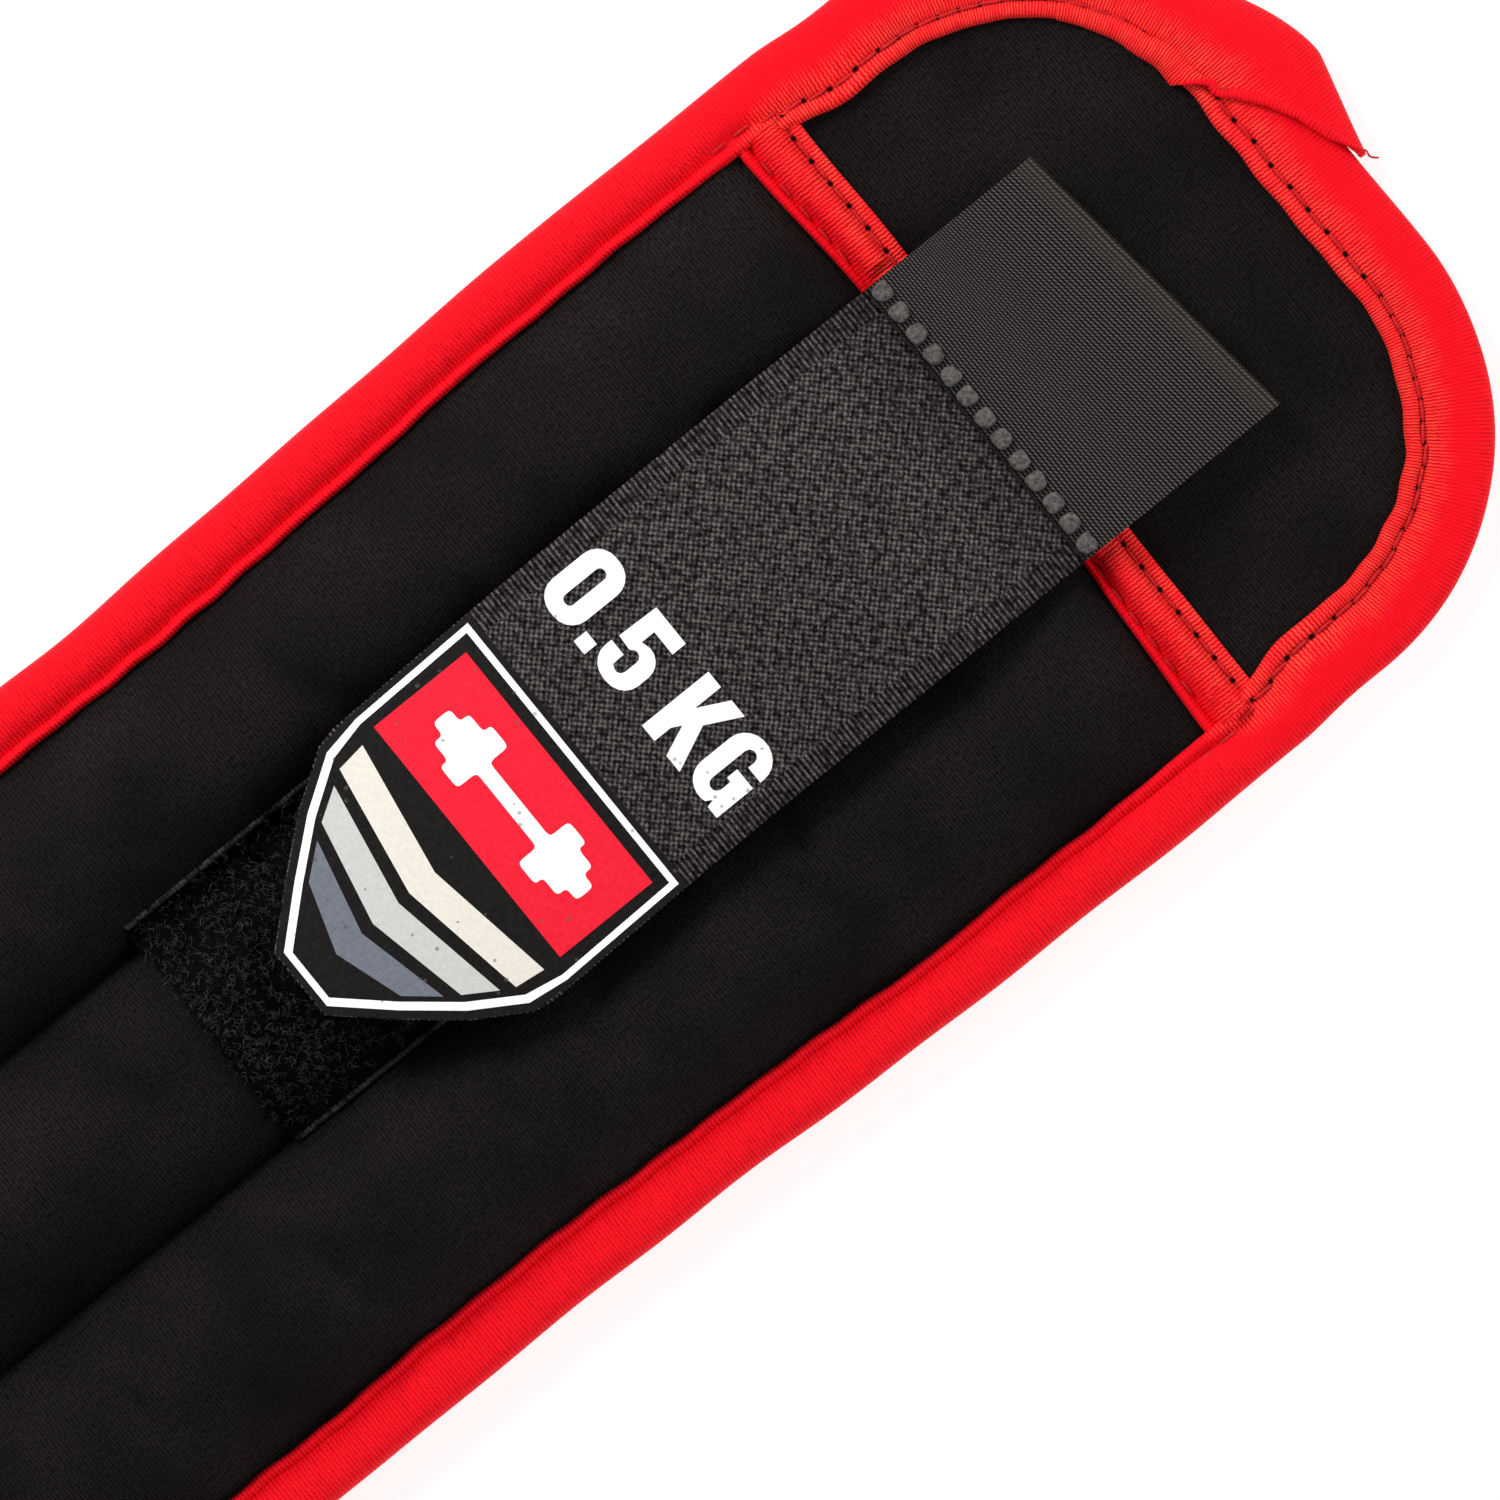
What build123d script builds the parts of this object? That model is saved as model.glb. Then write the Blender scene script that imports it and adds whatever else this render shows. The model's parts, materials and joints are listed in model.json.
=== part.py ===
"""Ankle cuff weight: six hinged lengths of weighted neoprene pocket between two soft end flaps,
a folded closing strap with a hook end, and a wire ring on a webbing keeper.
Millimetres, +Z up, lining face on z = 0. +X runs along the cuff towards the strap's anchored end."""

import math
import os

from build123d import *

os.makedirs("parts", exist_ok=True)

# Layout along the cuff
SEGMENT = 38.0  # length of one weighted segment
NEAR_BINDING_X = 120.0  # centre of the bound pocket end nearest the strap's anchor
FAR_BINDING_X = -108.0  # centre of the bound pocket end nearest the ring
WRAP_HINGES_X = [82.0 - SEGMENT * i for i in range(5)]
NEAR_FLAP_HINGE_X = 123.5
FAR_FLAP_HINGE_X = -111.5
NEAR_END_X = 168.5
FAR_END_X = -148.0
BODY_GAP = 0.3  # space between the pieces of neighbouring bodies

# Cloth, neoprene and bindings
HALF_WIDTH = 48.0
CORNER_RADIUS = 33.5
SIDE_BINDING_WIDTH = 8.0
FLAP_BINDING_WIDTH = 9.5
SIDE_BINDING_HEIGHT = 6.4
FLAP_BINDING_HEIGHT = 5.0
SIDE_BINDING_ROUNDING = 2.4
FLAP_BINDING_ROUNDING = 1.8
BINDING_WALL = 1.4
SLOT_Z = 1.0  # floor of the slot inside a folded binding
SLOT_HEIGHT = 3.85  # space inside the folded side binding for the edges of both panels
BASE_THICKNESS = 3.0
POCKET_PANEL = 2.4
POCKET_EDGE = 1.8  # the pocket panel pressed flat where a binding grips it
FIT_GAP = 0.1  # room between two panels that lie edge to edge
CREST_Z = 15.0  # top of a filled channel
LOBE_SQUARENESS = 2.6  # how far a channel's top stays level before it turns down
LOBE_FULLNESS = 0.62  # and how steeply it then meets its seams
SEAMS_Y = [-40.0, -12.2, 14.6, 40.0]  # seam lines that part the three channels
SEAM_ALLOWANCE = 2.0
END_BINDING_WIDTH = 6.0
END_BINDING_SHOULDER_Z = 5.2
END_BINDING_CREST_Z = 6.1

# Bags and their fill, drawn in from the pocket panel
BAG_INSET = 0.1
BAG_INNER_INSET = 0.5
FILL_INSET = 0.55
BAG_LEAST_CREST = 7.0  # the bags stop where the channels get lower than this
FILL_LEAST_CREST = 10.0

# Closing strap
STRAP_Y = 2.0
STRAP_WIDTH = 38.0
STRAP_THICKNESS = 1.2
STRAP_Z = 18.0  # underside of the strap where it lies on the pocket
STRAP_END_OUTLINE = [(43.85, 19.0), (39.0, 18.3), (33.0, 14.6), (27.0, 9.6), (21.0, 4.2)]  # x, half width
FOLD_X = 143.0
FOLD_Z = 7.4
FOLD_GAP = 0.6  # between the anchor tape and the tab folded back over it
ANCHOR_TAPE_START_X = 116.0
TAB_TAPE_START_X = 115.0
TAPE_THICKNESS = 0.9
HOOK_PAD_START_X = 60.0
HOOK_PAD_THICKNESS = 0.8
HOOK_PAD_INSET = 2.0
HOOK_TIP_INSET = 1.2
DOT_X = 118.4
DOT_COUNT = 13
DOT_PITCH = 2.97
DOT_RADIUS = 1.2
DOT_HEIGHT = 0.6
LOOP_PATCH_START_X = 94.0
LOOP_PATCH_END_X = 9.7
LOOP_PATCH_THICKNESS = 1.8

# Printed marks on the strap
PRINT_THICKNESS = 0.15
MARKING_X = 72.5
MARKING_Y = 1.5
MARKING_SIZE = (9.0, 30.5)
EMBLEM_START_X = 60.5
EMBLEM_INSET = 1.2
EMBLEM_TIP_INSET = 0.9

# Ring and its keeper
RING_BAR_X = -152.5
RING_BAR_Z = 6.35
RING_WIRE_RADIUS = 1.75
RING_LENGTH = 15.0  # between the centres of its two long bars
RING_INNER_WIDTH = 42.0
RING_CORNER_RADIUS = 3.2
RING_DROOP = 17.8  # degrees below level, so that its outer bar rests on z = 0
KEEPER_SEWN_X = -124.0
RING_PLAY = 0.15  # room for the wire inside the keeper's loop
KEEPER_THICKNESS = 1.0

# Pocket height at the ends, as (distance from the bound end's centre, crest height)
END_TAPER = [(3.0, 5.45), (6.0, 7.8), (11.0, 11.2), (18.0, 13.9), (26.0, CREST_Z)]


def lobe_points(low, high, foot, crest, count=9):
    """Points of one rounded channel top, from its low-Y foot to its high-Y foot."""
    points = []
    for i in range(count):
        across = -math.cos(math.pi * i / (count - 1))
        height = (1 - abs(across) ** LOBE_SQUARENESS) ** LOBE_FULLNESS
        points.append(((low + high) / 2 + across * (high - low) / 2, foot + (crest - foot) * height))
    return points


def panel_section(x, crest):
    """Outside of the pocket panel in section at x: three channel tops down to a flat underside."""
    foot = BASE_THICKNESS + POCKET_PANEL
    low_y, high_y = SEAMS_Y[0], SEAMS_Y[-1]
    with BuildSketch(Plane.YZ.offset(x)) as section:
        with BuildLine():
            for low, high in zip(SEAMS_Y, SEAMS_Y[1:]):
                Spline(*lobe_points(low, high, foot, max(crest, foot + 0.05)))
            Polyline((high_y, foot), (high_y, BASE_THICKNESS), (low_y, BASE_THICKNESS), (low_y, foot))
        make_face()
    return section.sketch


def channel_section(x, low, high, crest, inset):
    """Section at x of one channel's inside, drawn in from the panel by inset."""
    foot = BASE_THICKNESS + inset
    left, right = low + SEAM_ALLOWANCE + inset, high - SEAM_ALLOWANCE - inset
    with BuildSketch(Plane.YZ.offset(x)) as section:
        with BuildLine():
            Spline(*lobe_points(left, right, foot, crest - POCKET_PANEL - inset))
            Line((right, foot), (left, foot))
        make_face()
    return section.sketch


def stations(x0, x1):
    """Places along X where a segment's section is drawn, each with its crest height."""
    if x0 < NEAR_BINDING_X < x1:
        taper = [(NEAR_BINDING_X - d, z) for d, z in END_TAPER]
        return taper + [(x0, CREST_Z)]
    if x0 < FAR_BINDING_X < x1:
        taper = [(FAR_BINDING_X + d, z) for d, z in END_TAPER]
        return taper + [(x1, CREST_Z)]
    return [(x0, CREST_Z), (x1, CREST_Z)]


def channel_lofts(places, inset, mode):
    """The insides of the three channels, drawn in by inset, along the given stations."""
    for low, high in zip(SEAMS_Y, SEAMS_Y[1:]):
        loft(sections=[channel_section(x, low, high, crest, inset) for x, crest in places], mode=mode)


def side_binding(x0, x1):
    """Edge tape folded round both long edges: two strips, each with a slot for the panels' edges."""
    middle = HALF_WIDTH - SIDE_BINDING_WIDTH / 2
    for side in (-1, 1):
        with BuildSketch(Plane.YZ.offset(x0)) as section:
            with Locations((side * middle, SIDE_BINDING_HEIGHT / 2)):
                RectangleRounded(SIDE_BINDING_WIDTH, SIDE_BINDING_HEIGHT, SIDE_BINDING_ROUNDING)
            slot_y = HALF_WIDTH - BINDING_WALL - SIDE_BINDING_WIDTH / 2
            with Locations((side * slot_y, SLOT_Z + SLOT_HEIGHT / 2)):
                Rectangle(SIDE_BINDING_WIDTH, SLOT_HEIGHT, mode=Mode.SUBTRACT)
        extrude(section.sketch, amount=x1 - x0)


def flap_outline(x_flat, x_end, inset, z=0.0):
    """Plan of a rounded flap at height z, drawn in by inset from its outer edge."""
    direction = 1 if x_end > x_flat else -1
    radius = CORNER_RADIUS - inset
    tip = x_end - direction * inset
    half = HALF_WIDTH - inset
    centre_x = tip - direction * radius
    arc_x = centre_x + direction * radius * math.sqrt(0.5)
    arc_y = half - radius * (1 - math.sqrt(0.5))
    with BuildSketch(Plane.XY.offset(z)) as plan:
        with BuildLine():
            Line((x_flat, -half), (centre_x, -half))
            ThreePointArc((centre_x, -half), (arc_x, -arc_y), (tip, -half + radius))
            Line((tip, -half + radius), (tip, half - radius))
            ThreePointArc((tip, half - radius), (arc_x, arc_y), (centre_x, half))
            Polyline((centre_x, half), (x_flat, half), (x_flat, -half))
        make_face()
    return plan.sketch


def flap_panel_solid(x_flat, x_end):
    """Soft neoprene layer of a flap: full thickness in the middle, thinner where the binding grips it."""
    extrude(flap_outline(x_flat, x_end, FLAP_BINDING_WIDTH + FIT_GAP), amount=BASE_THICKNESS)
    extrude(flap_outline(x_flat, x_end, BINDING_WALL, SLOT_Z), amount=BASE_THICKNESS - SLOT_Z)


def flap_binding_solid(x_flat, x_end):
    """Edge tape folded round a flap's rounded end, with a slot for the panel's edge."""
    extrude(flap_outline(x_flat, x_end, 0), amount=FLAP_BINDING_HEIGHT)
    direction = 1 if x_end > x_flat else -1
    outer = [
        edge
        for edge in edges().filter_by_position(Axis.Z, FLAP_BINDING_HEIGHT, FLAP_BINDING_HEIGHT)
        if direction * (edge.center().X - x_flat) > 0.5
    ]
    fillet(outer, FLAP_BINDING_ROUNDING)
    middle = flap_outline(x_flat, x_end, FLAP_BINDING_WIDTH)
    extrude(middle, amount=FLAP_BINDING_HEIGHT, mode=Mode.SUBTRACT)
    slot = flap_outline(x_flat, x_end, BINDING_WALL, SLOT_Z)
    extrude(slot, amount=BASE_THICKNESS - SLOT_Z, mode=Mode.SUBTRACT)


def end_binding_solid(x):
    """Domed tape across a pocket end, sewn to the base panel, with a slot for the pocket panel's edge."""
    pocket_side = -1 if x > 0 else 1
    half = END_BINDING_WIDTH / 2
    high_y = SEAMS_Y[-1]
    near, far = x + half, x - half
    with BuildSketch(Plane.XZ.offset(-high_y)) as section:
        with BuildLine():
            Line((far, END_BINDING_SHOULDER_Z), (far, BASE_THICKNESS))
            Line((far, BASE_THICKNESS), (near, BASE_THICKNESS))
            Line((near, BASE_THICKNESS), (near, END_BINDING_SHOULDER_Z))
            ThreePointArc((near, END_BINDING_SHOULDER_Z), (x, END_BINDING_CREST_Z), (far, END_BINDING_SHOULDER_Z))
        make_face()
    extrude(section.sketch, amount=2 * high_y)
    with Locations((x + pocket_side * half / 2, 0, BASE_THICKNESS + POCKET_EDGE / 2)):
        Box(half, 2 * high_y, POCKET_EDGE, mode=Mode.SUBTRACT)


def strap_end_plan(z, side_inset, tip_inset):
    """Plan of the strap's tapered end at height z, drawn in from its sides and from its tip."""
    half = [(x + (tip_inset if i else 0.0), y - side_inset) for i, (x, y) in enumerate(STRAP_END_OUTLINE)]
    left = [(x, STRAP_Y + y) for x, y in half]
    right = [(x, STRAP_Y - y) for x, y in reversed(half)]
    with BuildSketch(Plane.XY.offset(z)) as plan:
        with BuildLine():
            Polyline(*left, *right, close=True)
        make_face()
    return plan.sketch


# Weighted segments
edges_x = [NEAR_FLAP_HINGE_X] + WRAP_HINGES_X + [FAR_FLAP_HINGE_X]
spans = [(low + BODY_GAP / 2, high - BODY_GAP / 2) for high, low in zip(edges_x, edges_x[1:])]

for number, (x0, x1) in enumerate(spans, 1):
    panel_places = stations(x0, x1)
    bag_places = [(x, crest) for x, crest in panel_places if crest > BAG_LEAST_CREST]
    fill_places = [(x, crest) for x, crest in panel_places if crest > FILL_LEAST_CREST]

    with BuildPart() as base_panel:
        with BuildSketch(Plane.YZ.offset(x0)):
            with Locations((0, BASE_THICKNESS / 2)):
                Rectangle(2 * (HALF_WIDTH - SIDE_BINDING_WIDTH - FIT_GAP), BASE_THICKNESS)
            with Locations((0, (BASE_THICKNESS + SLOT_Z) / 2)):
                Rectangle(2 * (HALF_WIDTH - BINDING_WALL), BASE_THICKNESS - SLOT_Z)
        extrude(amount=x1 - x0)
    base_panel.part.label = f"base_panel_{number}"
    export_step(base_panel.part, f"parts/base_panel_{number}.step")

    with BuildPart() as pocket_panel:
        loft(sections=[panel_section(x, crest) for x, crest in panel_places])
        channel_lofts(bag_places, 0.0, Mode.SUBTRACT)
        ends = [x for x, crest in panel_places]
        edge_width = HALF_WIDTH - BINDING_WALL - SEAMS_Y[-1]
        edge_y = SEAMS_Y[-1] + edge_width / 2
        for side in (-1, 1):
            with Locations(((min(ends) + max(ends)) / 2, side * edge_y, BASE_THICKNESS + POCKET_EDGE / 2)):
                Box(max(ends) - min(ends), edge_width, POCKET_EDGE)
        for bound_x, pocket_side in ((NEAR_BINDING_X, -1), (FAR_BINDING_X, 1)):
            if x0 < bound_x < x1:
                half = END_BINDING_WIDTH / 2
                with Locations((bound_x + pocket_side * half / 2, 0, BASE_THICKNESS + POCKET_EDGE / 2)):
                    Box(half, 2 * (SEAMS_Y[-1] - FIT_GAP), POCKET_EDGE)
    pocket_panel.part.label = f"pocket_panel_{number}"
    export_step(pocket_panel.part, f"parts/pocket_panel_{number}.step")

    with BuildPart() as sand_bags:
        channel_lofts(bag_places, BAG_INSET, Mode.ADD)
        channel_lofts(fill_places, BAG_INNER_INSET, Mode.SUBTRACT)
    sand_bags.part.label = f"sand_bags_{number}"
    export_step(sand_bags.part, f"parts/sand_bags_{number}.step")

    with BuildPart() as iron_sand:
        channel_lofts(fill_places, FILL_INSET, Mode.ADD)
    iron_sand.part.label = f"iron_sand_{number}"
    export_step(iron_sand.part, f"parts/iron_sand_{number}.step")

    with BuildPart() as edge_binding:
        side_binding(x0, x1)
    edge_binding.part.label = f"edge_binding_{number}"
    export_step(edge_binding.part, f"parts/edge_binding_{number}.step")

# Bound pocket ends
with BuildPart() as pocket_end_binding:
    end_binding_solid(NEAR_BINDING_X)
pocket_end_binding.part.label = "pocket_end_binding"
export_step(pocket_end_binding.part, "parts/pocket_end_binding.step")

with BuildPart() as far_end_binding:
    end_binding_solid(FAR_BINDING_X)
far_end_binding.part.label = "far_end_binding"
export_step(far_end_binding.part, "parts/far_end_binding.step")

# Flaps
with BuildPart() as flap_panel:
    flap_panel_solid(NEAR_FLAP_HINGE_X + BODY_GAP / 2, NEAR_END_X)
flap_panel.part.label = "flap_panel"
export_step(flap_panel.part, "parts/flap_panel.step")

with BuildPart() as flap_binding:
    flap_binding_solid(NEAR_FLAP_HINGE_X + BODY_GAP / 2, NEAR_END_X)
flap_binding.part.label = "flap_binding"
export_step(flap_binding.part, "parts/flap_binding.step")

with BuildPart() as far_flap_panel:
    flap_panel_solid(FAR_FLAP_HINGE_X - BODY_GAP / 2, FAR_END_X)
far_flap_panel.part.label = "far_flap_panel"
export_step(far_flap_panel.part, "parts/far_flap_panel.step")

with BuildPart() as far_flap_binding:
    flap_binding_solid(FAR_FLAP_HINGE_X - BODY_GAP / 2, FAR_END_X)
far_flap_binding.part.label = "far_flap_binding"
export_step(far_flap_binding.part, "parts/far_flap_binding.step")

# Keeper and ring
keeper_half = KEEPER_THICKNESS + FIT_GAP / 2  # two layers of webbing lie together
loop_inner = RING_WIRE_RADIUS + RING_PLAY
loop_outer = loop_inner + KEEPER_THICKNESS

with BuildPart() as ring_keeper:
    with BuildSketch(Plane.XZ.offset(-STRAP_WIDTH / 2)):
        with Locations(((KEEPER_SEWN_X + FAR_END_X) / 2, RING_BAR_Z)):
            Rectangle(KEEPER_SEWN_X - FAR_END_X, 2 * keeper_half)
        with BuildLine():
            Polyline(
                (FAR_END_X, RING_BAR_Z - keeper_half),
                (RING_BAR_X, RING_BAR_Z - loop_outer),
                (RING_BAR_X, RING_BAR_Z + loop_outer),
                (FAR_END_X, RING_BAR_Z + keeper_half),
                close=True,
            )
        make_face()
        with Locations((RING_BAR_X, RING_BAR_Z)):
            Circle(loop_outer)
            Circle(loop_inner, mode=Mode.SUBTRACT)
    extrude(amount=STRAP_WIDTH)
ring_keeper.part.label = "ring_keeper"
export_step(ring_keeper.part, "parts/ring_keeper.step")

with BuildPart() as ring:
    half_y = RING_INNER_WIDTH / 2 + RING_WIRE_RADIUS
    with BuildLine() as ring_path:
        Polyline(
            (RING_BAR_X, -half_y, RING_BAR_Z),
            (RING_BAR_X, half_y, RING_BAR_Z),
            (RING_BAR_X - RING_LENGTH, half_y, RING_BAR_Z),
            (RING_BAR_X - RING_LENGTH, -half_y, RING_BAR_Z),
            close=True,
        )
        fillet(ring_path.vertices(), RING_CORNER_RADIUS)
    with BuildSketch(Plane(origin=(RING_BAR_X, 0, RING_BAR_Z), z_dir=(0, 1, 0))):
        Circle(RING_WIRE_RADIUS)
    sweep(path=ring_path.wires()[0])
ring_solid = ring.part.rotate(Axis((RING_BAR_X, 0, RING_BAR_Z), (0, -1, 0)), RING_DROOP)
ring_solid.label = "ring"
export_step(ring_solid, "parts/ring.step")

# Loop patch on the middle channel
patch_spans = [(spans[0][0], LOOP_PATCH_START_X), spans[1], (LOOP_PATCH_END_X, spans[2][1])]
PATCH_GAP = 0.02  # room between the patch and the panel that it is sewn to

for number, (x0, x1) in enumerate(patch_spans, 1):
    with BuildPart() as loop_patch:
        with BuildSketch(Plane.YZ.offset(x0)):
            with BuildLine():
                over = lobe_points(SEAMS_Y[1], SEAMS_Y[2], BASE_THICKNESS + POCKET_PANEL, CREST_Z)
                lower = [(y, z + PATCH_GAP) for y, z in over]
                upper = [(y, z + LOOP_PATCH_THICKNESS) for y, z in over]
                Spline(*lower)
                Spline(*upper)
                Line(lower[0], upper[0])
                Line(lower[-1], upper[-1])
            make_face()
        extrude(amount=x1 - x0)
    loop_patch.part.label = f"loop_patch_{number}"
    export_step(loop_patch.part, f"parts/loop_patch_{number}.step")

# Strap anchor and fold
with BuildPart() as anchor_tape:
    length = FOLD_X - ANCHOR_TAPE_START_X
    with Locations((FOLD_X - length / 2, STRAP_Y, FOLD_Z - (FOLD_GAP + TAPE_THICKNESS) / 2)):
        Box(length, STRAP_WIDTH, TAPE_THICKNESS)
anchor_tape.part.label = "anchor_tape"
export_step(anchor_tape.part, "parts/anchor_tape.step")

with BuildPart() as tab_tape:
    length = FOLD_X - TAB_TAPE_START_X
    with Locations((FOLD_X - length / 2, STRAP_Y, FOLD_Z + (FOLD_GAP + TAPE_THICKNESS) / 2)):
        Box(length, STRAP_WIDTH, TAPE_THICKNESS)
tab_tape.part.label = "tab_tape"
export_step(tab_tape.part, "parts/tab_tape.step")

# Strap, from its welded end down to the shield-shaped tip
weld_z = FOLD_Z + FOLD_GAP / 2 + TAPE_THICKNESS
climb = [(119.6, weld_z), (114.5, weld_z), (110.0, 12.0), (104.0, 14.6), (98.0, 17.1), (93.0, STRAP_Z)]
strap_low, strap_high = STRAP_Y - STRAP_WIDTH / 2, STRAP_Y + STRAP_WIDTH / 2

with BuildPart() as strap_tape_1:
    with BuildSketch(Plane.XZ.offset(-strap_high)):
        with BuildLine():
            under = climb + [(spans[0][0], STRAP_Z)]
            over = [(x, z + STRAP_THICKNESS) for x, z in reversed(under)]
            Polyline(*under, *over, close=True)
        make_face()
    extrude(amount=STRAP_WIDTH)
strap_tape_1.part.label = "strap_tape_1"
export_step(strap_tape_1.part, "parts/strap_tape_1.step")

with BuildPart() as strap_tape_2:
    x0, x1 = spans[1]
    with Locations(((x0 + x1) / 2, STRAP_Y, STRAP_Z + STRAP_THICKNESS / 2)):
        Box(x1 - x0, STRAP_WIDTH, STRAP_THICKNESS)
strap_tape_2.part.label = "strap_tape_2"
export_step(strap_tape_2.part, "parts/strap_tape_2.step")

with BuildPart() as strap_end:
    extrude(strap_end_plan(STRAP_Z, 0, 0), amount=STRAP_THICKNESS)
strap_end.part.label = "strap_end"
export_step(strap_end.part, "parts/strap_end.step")

strap_bend_x = spans[1][0]
hook_z = STRAP_Z - HOOK_PAD_THICKNESS

with BuildPart() as hook_pad_1:
    with Locations(((HOOK_PAD_START_X + strap_bend_x) / 2, STRAP_Y, hook_z + HOOK_PAD_THICKNESS / 2)):
        Box(HOOK_PAD_START_X - strap_bend_x, STRAP_WIDTH - 2 * HOOK_PAD_INSET, HOOK_PAD_THICKNESS)
hook_pad_1.part.label = "hook_pad_1"
export_step(hook_pad_1.part, "parts/hook_pad_1.step")

with BuildPart() as hook_pad_2:
    extrude(strap_end_plan(hook_z, HOOK_PAD_INSET, HOOK_TIP_INSET), amount=HOOK_PAD_THICKNESS)
hook_pad_2.part.label = "hook_pad_2"
export_step(hook_pad_2.part, "parts/hook_pad_2.step")

with BuildPart() as weld_dots:
    with Locations((DOT_X, STRAP_Y, weld_z + STRAP_THICKNESS)):
        with GridLocations(1, DOT_PITCH, 1, DOT_COUNT):
            Cylinder(DOT_RADIUS, DOT_HEIGHT, align=(Align.CENTER, Align.CENTER, Align.MIN))
weld_dots.part.label = "weld_dots"
export_step(weld_dots.part, "parts/weld_dots.step")

# Printed marks on the strap: a weight marking and a plain emblem panel
print_z = STRAP_Z + STRAP_THICKNESS

with BuildPart() as weight_marking:
    with Locations((MARKING_X, MARKING_Y, print_z + PRINT_THICKNESS / 2)):
        Box(*MARKING_SIZE, PRINT_THICKNESS)
weight_marking.part.label = "weight_marking"
export_step(weight_marking.part, "parts/weight_marking.step")

with BuildPart() as emblem_print_1:
    with Locations(((EMBLEM_START_X + strap_bend_x) / 2, STRAP_Y, print_z + PRINT_THICKNESS / 2)):
        Box(EMBLEM_START_X - strap_bend_x, STRAP_WIDTH - 2 * EMBLEM_INSET, PRINT_THICKNESS)
emblem_print_1.part.label = "emblem_print_1"
export_step(emblem_print_1.part, "parts/emblem_print_1.step")

with BuildPart() as emblem_print_2:
    extrude(strap_end_plan(print_z, EMBLEM_INSET, EMBLEM_TIP_INSET), amount=PRINT_THICKNESS)
emblem_print_2.part.label = "emblem_print_2"
export_step(emblem_print_2.part, "parts/emblem_print_2.step")
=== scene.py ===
"""Looks of the ankle cuff weight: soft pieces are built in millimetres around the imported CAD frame."""

import json
import math

import bmesh
import bpy
import numpy as np
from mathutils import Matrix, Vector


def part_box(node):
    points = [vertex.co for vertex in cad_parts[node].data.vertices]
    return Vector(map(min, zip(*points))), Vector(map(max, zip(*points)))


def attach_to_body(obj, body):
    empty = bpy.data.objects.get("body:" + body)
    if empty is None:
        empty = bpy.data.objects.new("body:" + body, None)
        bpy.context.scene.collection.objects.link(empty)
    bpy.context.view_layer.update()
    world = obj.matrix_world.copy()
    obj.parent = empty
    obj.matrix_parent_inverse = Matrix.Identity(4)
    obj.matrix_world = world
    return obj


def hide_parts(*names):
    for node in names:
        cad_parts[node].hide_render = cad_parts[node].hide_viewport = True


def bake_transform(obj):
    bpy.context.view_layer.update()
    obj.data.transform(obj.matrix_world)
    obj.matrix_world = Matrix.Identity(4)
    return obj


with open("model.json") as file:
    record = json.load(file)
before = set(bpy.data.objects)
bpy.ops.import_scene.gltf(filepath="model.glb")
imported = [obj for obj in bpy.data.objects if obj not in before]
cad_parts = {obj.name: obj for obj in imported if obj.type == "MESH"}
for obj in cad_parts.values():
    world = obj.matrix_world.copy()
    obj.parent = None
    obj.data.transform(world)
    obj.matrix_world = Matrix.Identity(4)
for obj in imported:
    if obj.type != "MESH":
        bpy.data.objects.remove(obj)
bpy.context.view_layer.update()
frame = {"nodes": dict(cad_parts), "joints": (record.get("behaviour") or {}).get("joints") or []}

MM = 0.001
JOINT_X = {j["name"]: j["pos_m"][0] / MM for j in frame["joints"]}
WRAP_X = [JOINT_X[f"wrap_{k}"] for k in range(1, 6)]
NEAR_HINGE = JOINT_X["near_flap_bend"]
FAR_HINGE = JOINT_X["far_flap_bend"]
FOLD_X = JOINT_X["strap_fold"]


def cad(node):
    """Lowest and highest corner of a CAD node, in millimetres."""
    low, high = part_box(node)
    return np.array(low) / MM, np.array(high) / MM


def cad_middle_x(node):
    low, high = cad(node)
    return float(np.mean([low[0], high[0]]))


def smooth(value, start, end):
    """0 before start, 1 after end, easing between them."""
    t = np.clip((value - start) / (end - start), 0, 1)
    return t * t * (3 - 2 * t)


# ---- Sizes, in millimetres ---------------------------------------------------------------------------------
END_X = cad("flap_binding")[1][0]
FAR_END_X = cad("far_flap_binding")[0][0]
HALF_WIDTH = cad("flap_binding")[1][1]
NEAR_BINDING_X = cad_middle_x("pocket_end_binding")
FAR_BINDING_X = cad_middle_x("far_end_binding")
SKIN_CREST_Z = cad("pocket_panel_3")[1][2]
SKIN_FOOT_Z = 5.3
BASE_Z = 3.0
FLAP_Z = 3.2
SEAMS_Y = (-40.0, -12.2, 14.6, 40.0)
SKIN_EDGE_Y = 41.0
CORNER_RADIUS = 33.5
SIDE_TAPE = (7.7, 6.4)  # width and height of the edge tape along the pocket
FLAP_TAPE = (10.0, 5.0)  # and round the flaps
STITCH_PITCH = 3.2
STITCH_INSET = 2.1  # stitch line, from the tape's inner edge
BLEND_REACH = 11.5  # either side of a flap's hinge

STRAP_TOP_Z = cad("strap_end")[1][2]
STRAP_THICK = 1.2
STRAP_HALF = 19.2
STRAP_MIDDLE_Y = 1.2  # at its sewn end; the free end lies 1 mm to the side
STRAP_START_X = 120.6
STRAP_TIP_X = cad("strap_end")[0][0]
WELD_TOP_Z = cad("weld_dots")[0][2]
WELD_X = cad_middle_x("weld_dots")
PATCH_END_X = cad("loop_patch_3")[0][0]
PATCH_START_X = cad("loop_patch_1")[1][0]
PATCH_Y = (-12.8, 17.0)
WEAVE_PITCH = 0.8
RIB_PITCH = 0.6
WEAVE_STEP = 0.2
STRAP_EDGE = 2.9  # width of the ribbed edge at either side of the strap
TIP_TO_BEND_X = (25.0, 63.0, 101.0)  # where the strap's two bends begin and end
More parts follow.
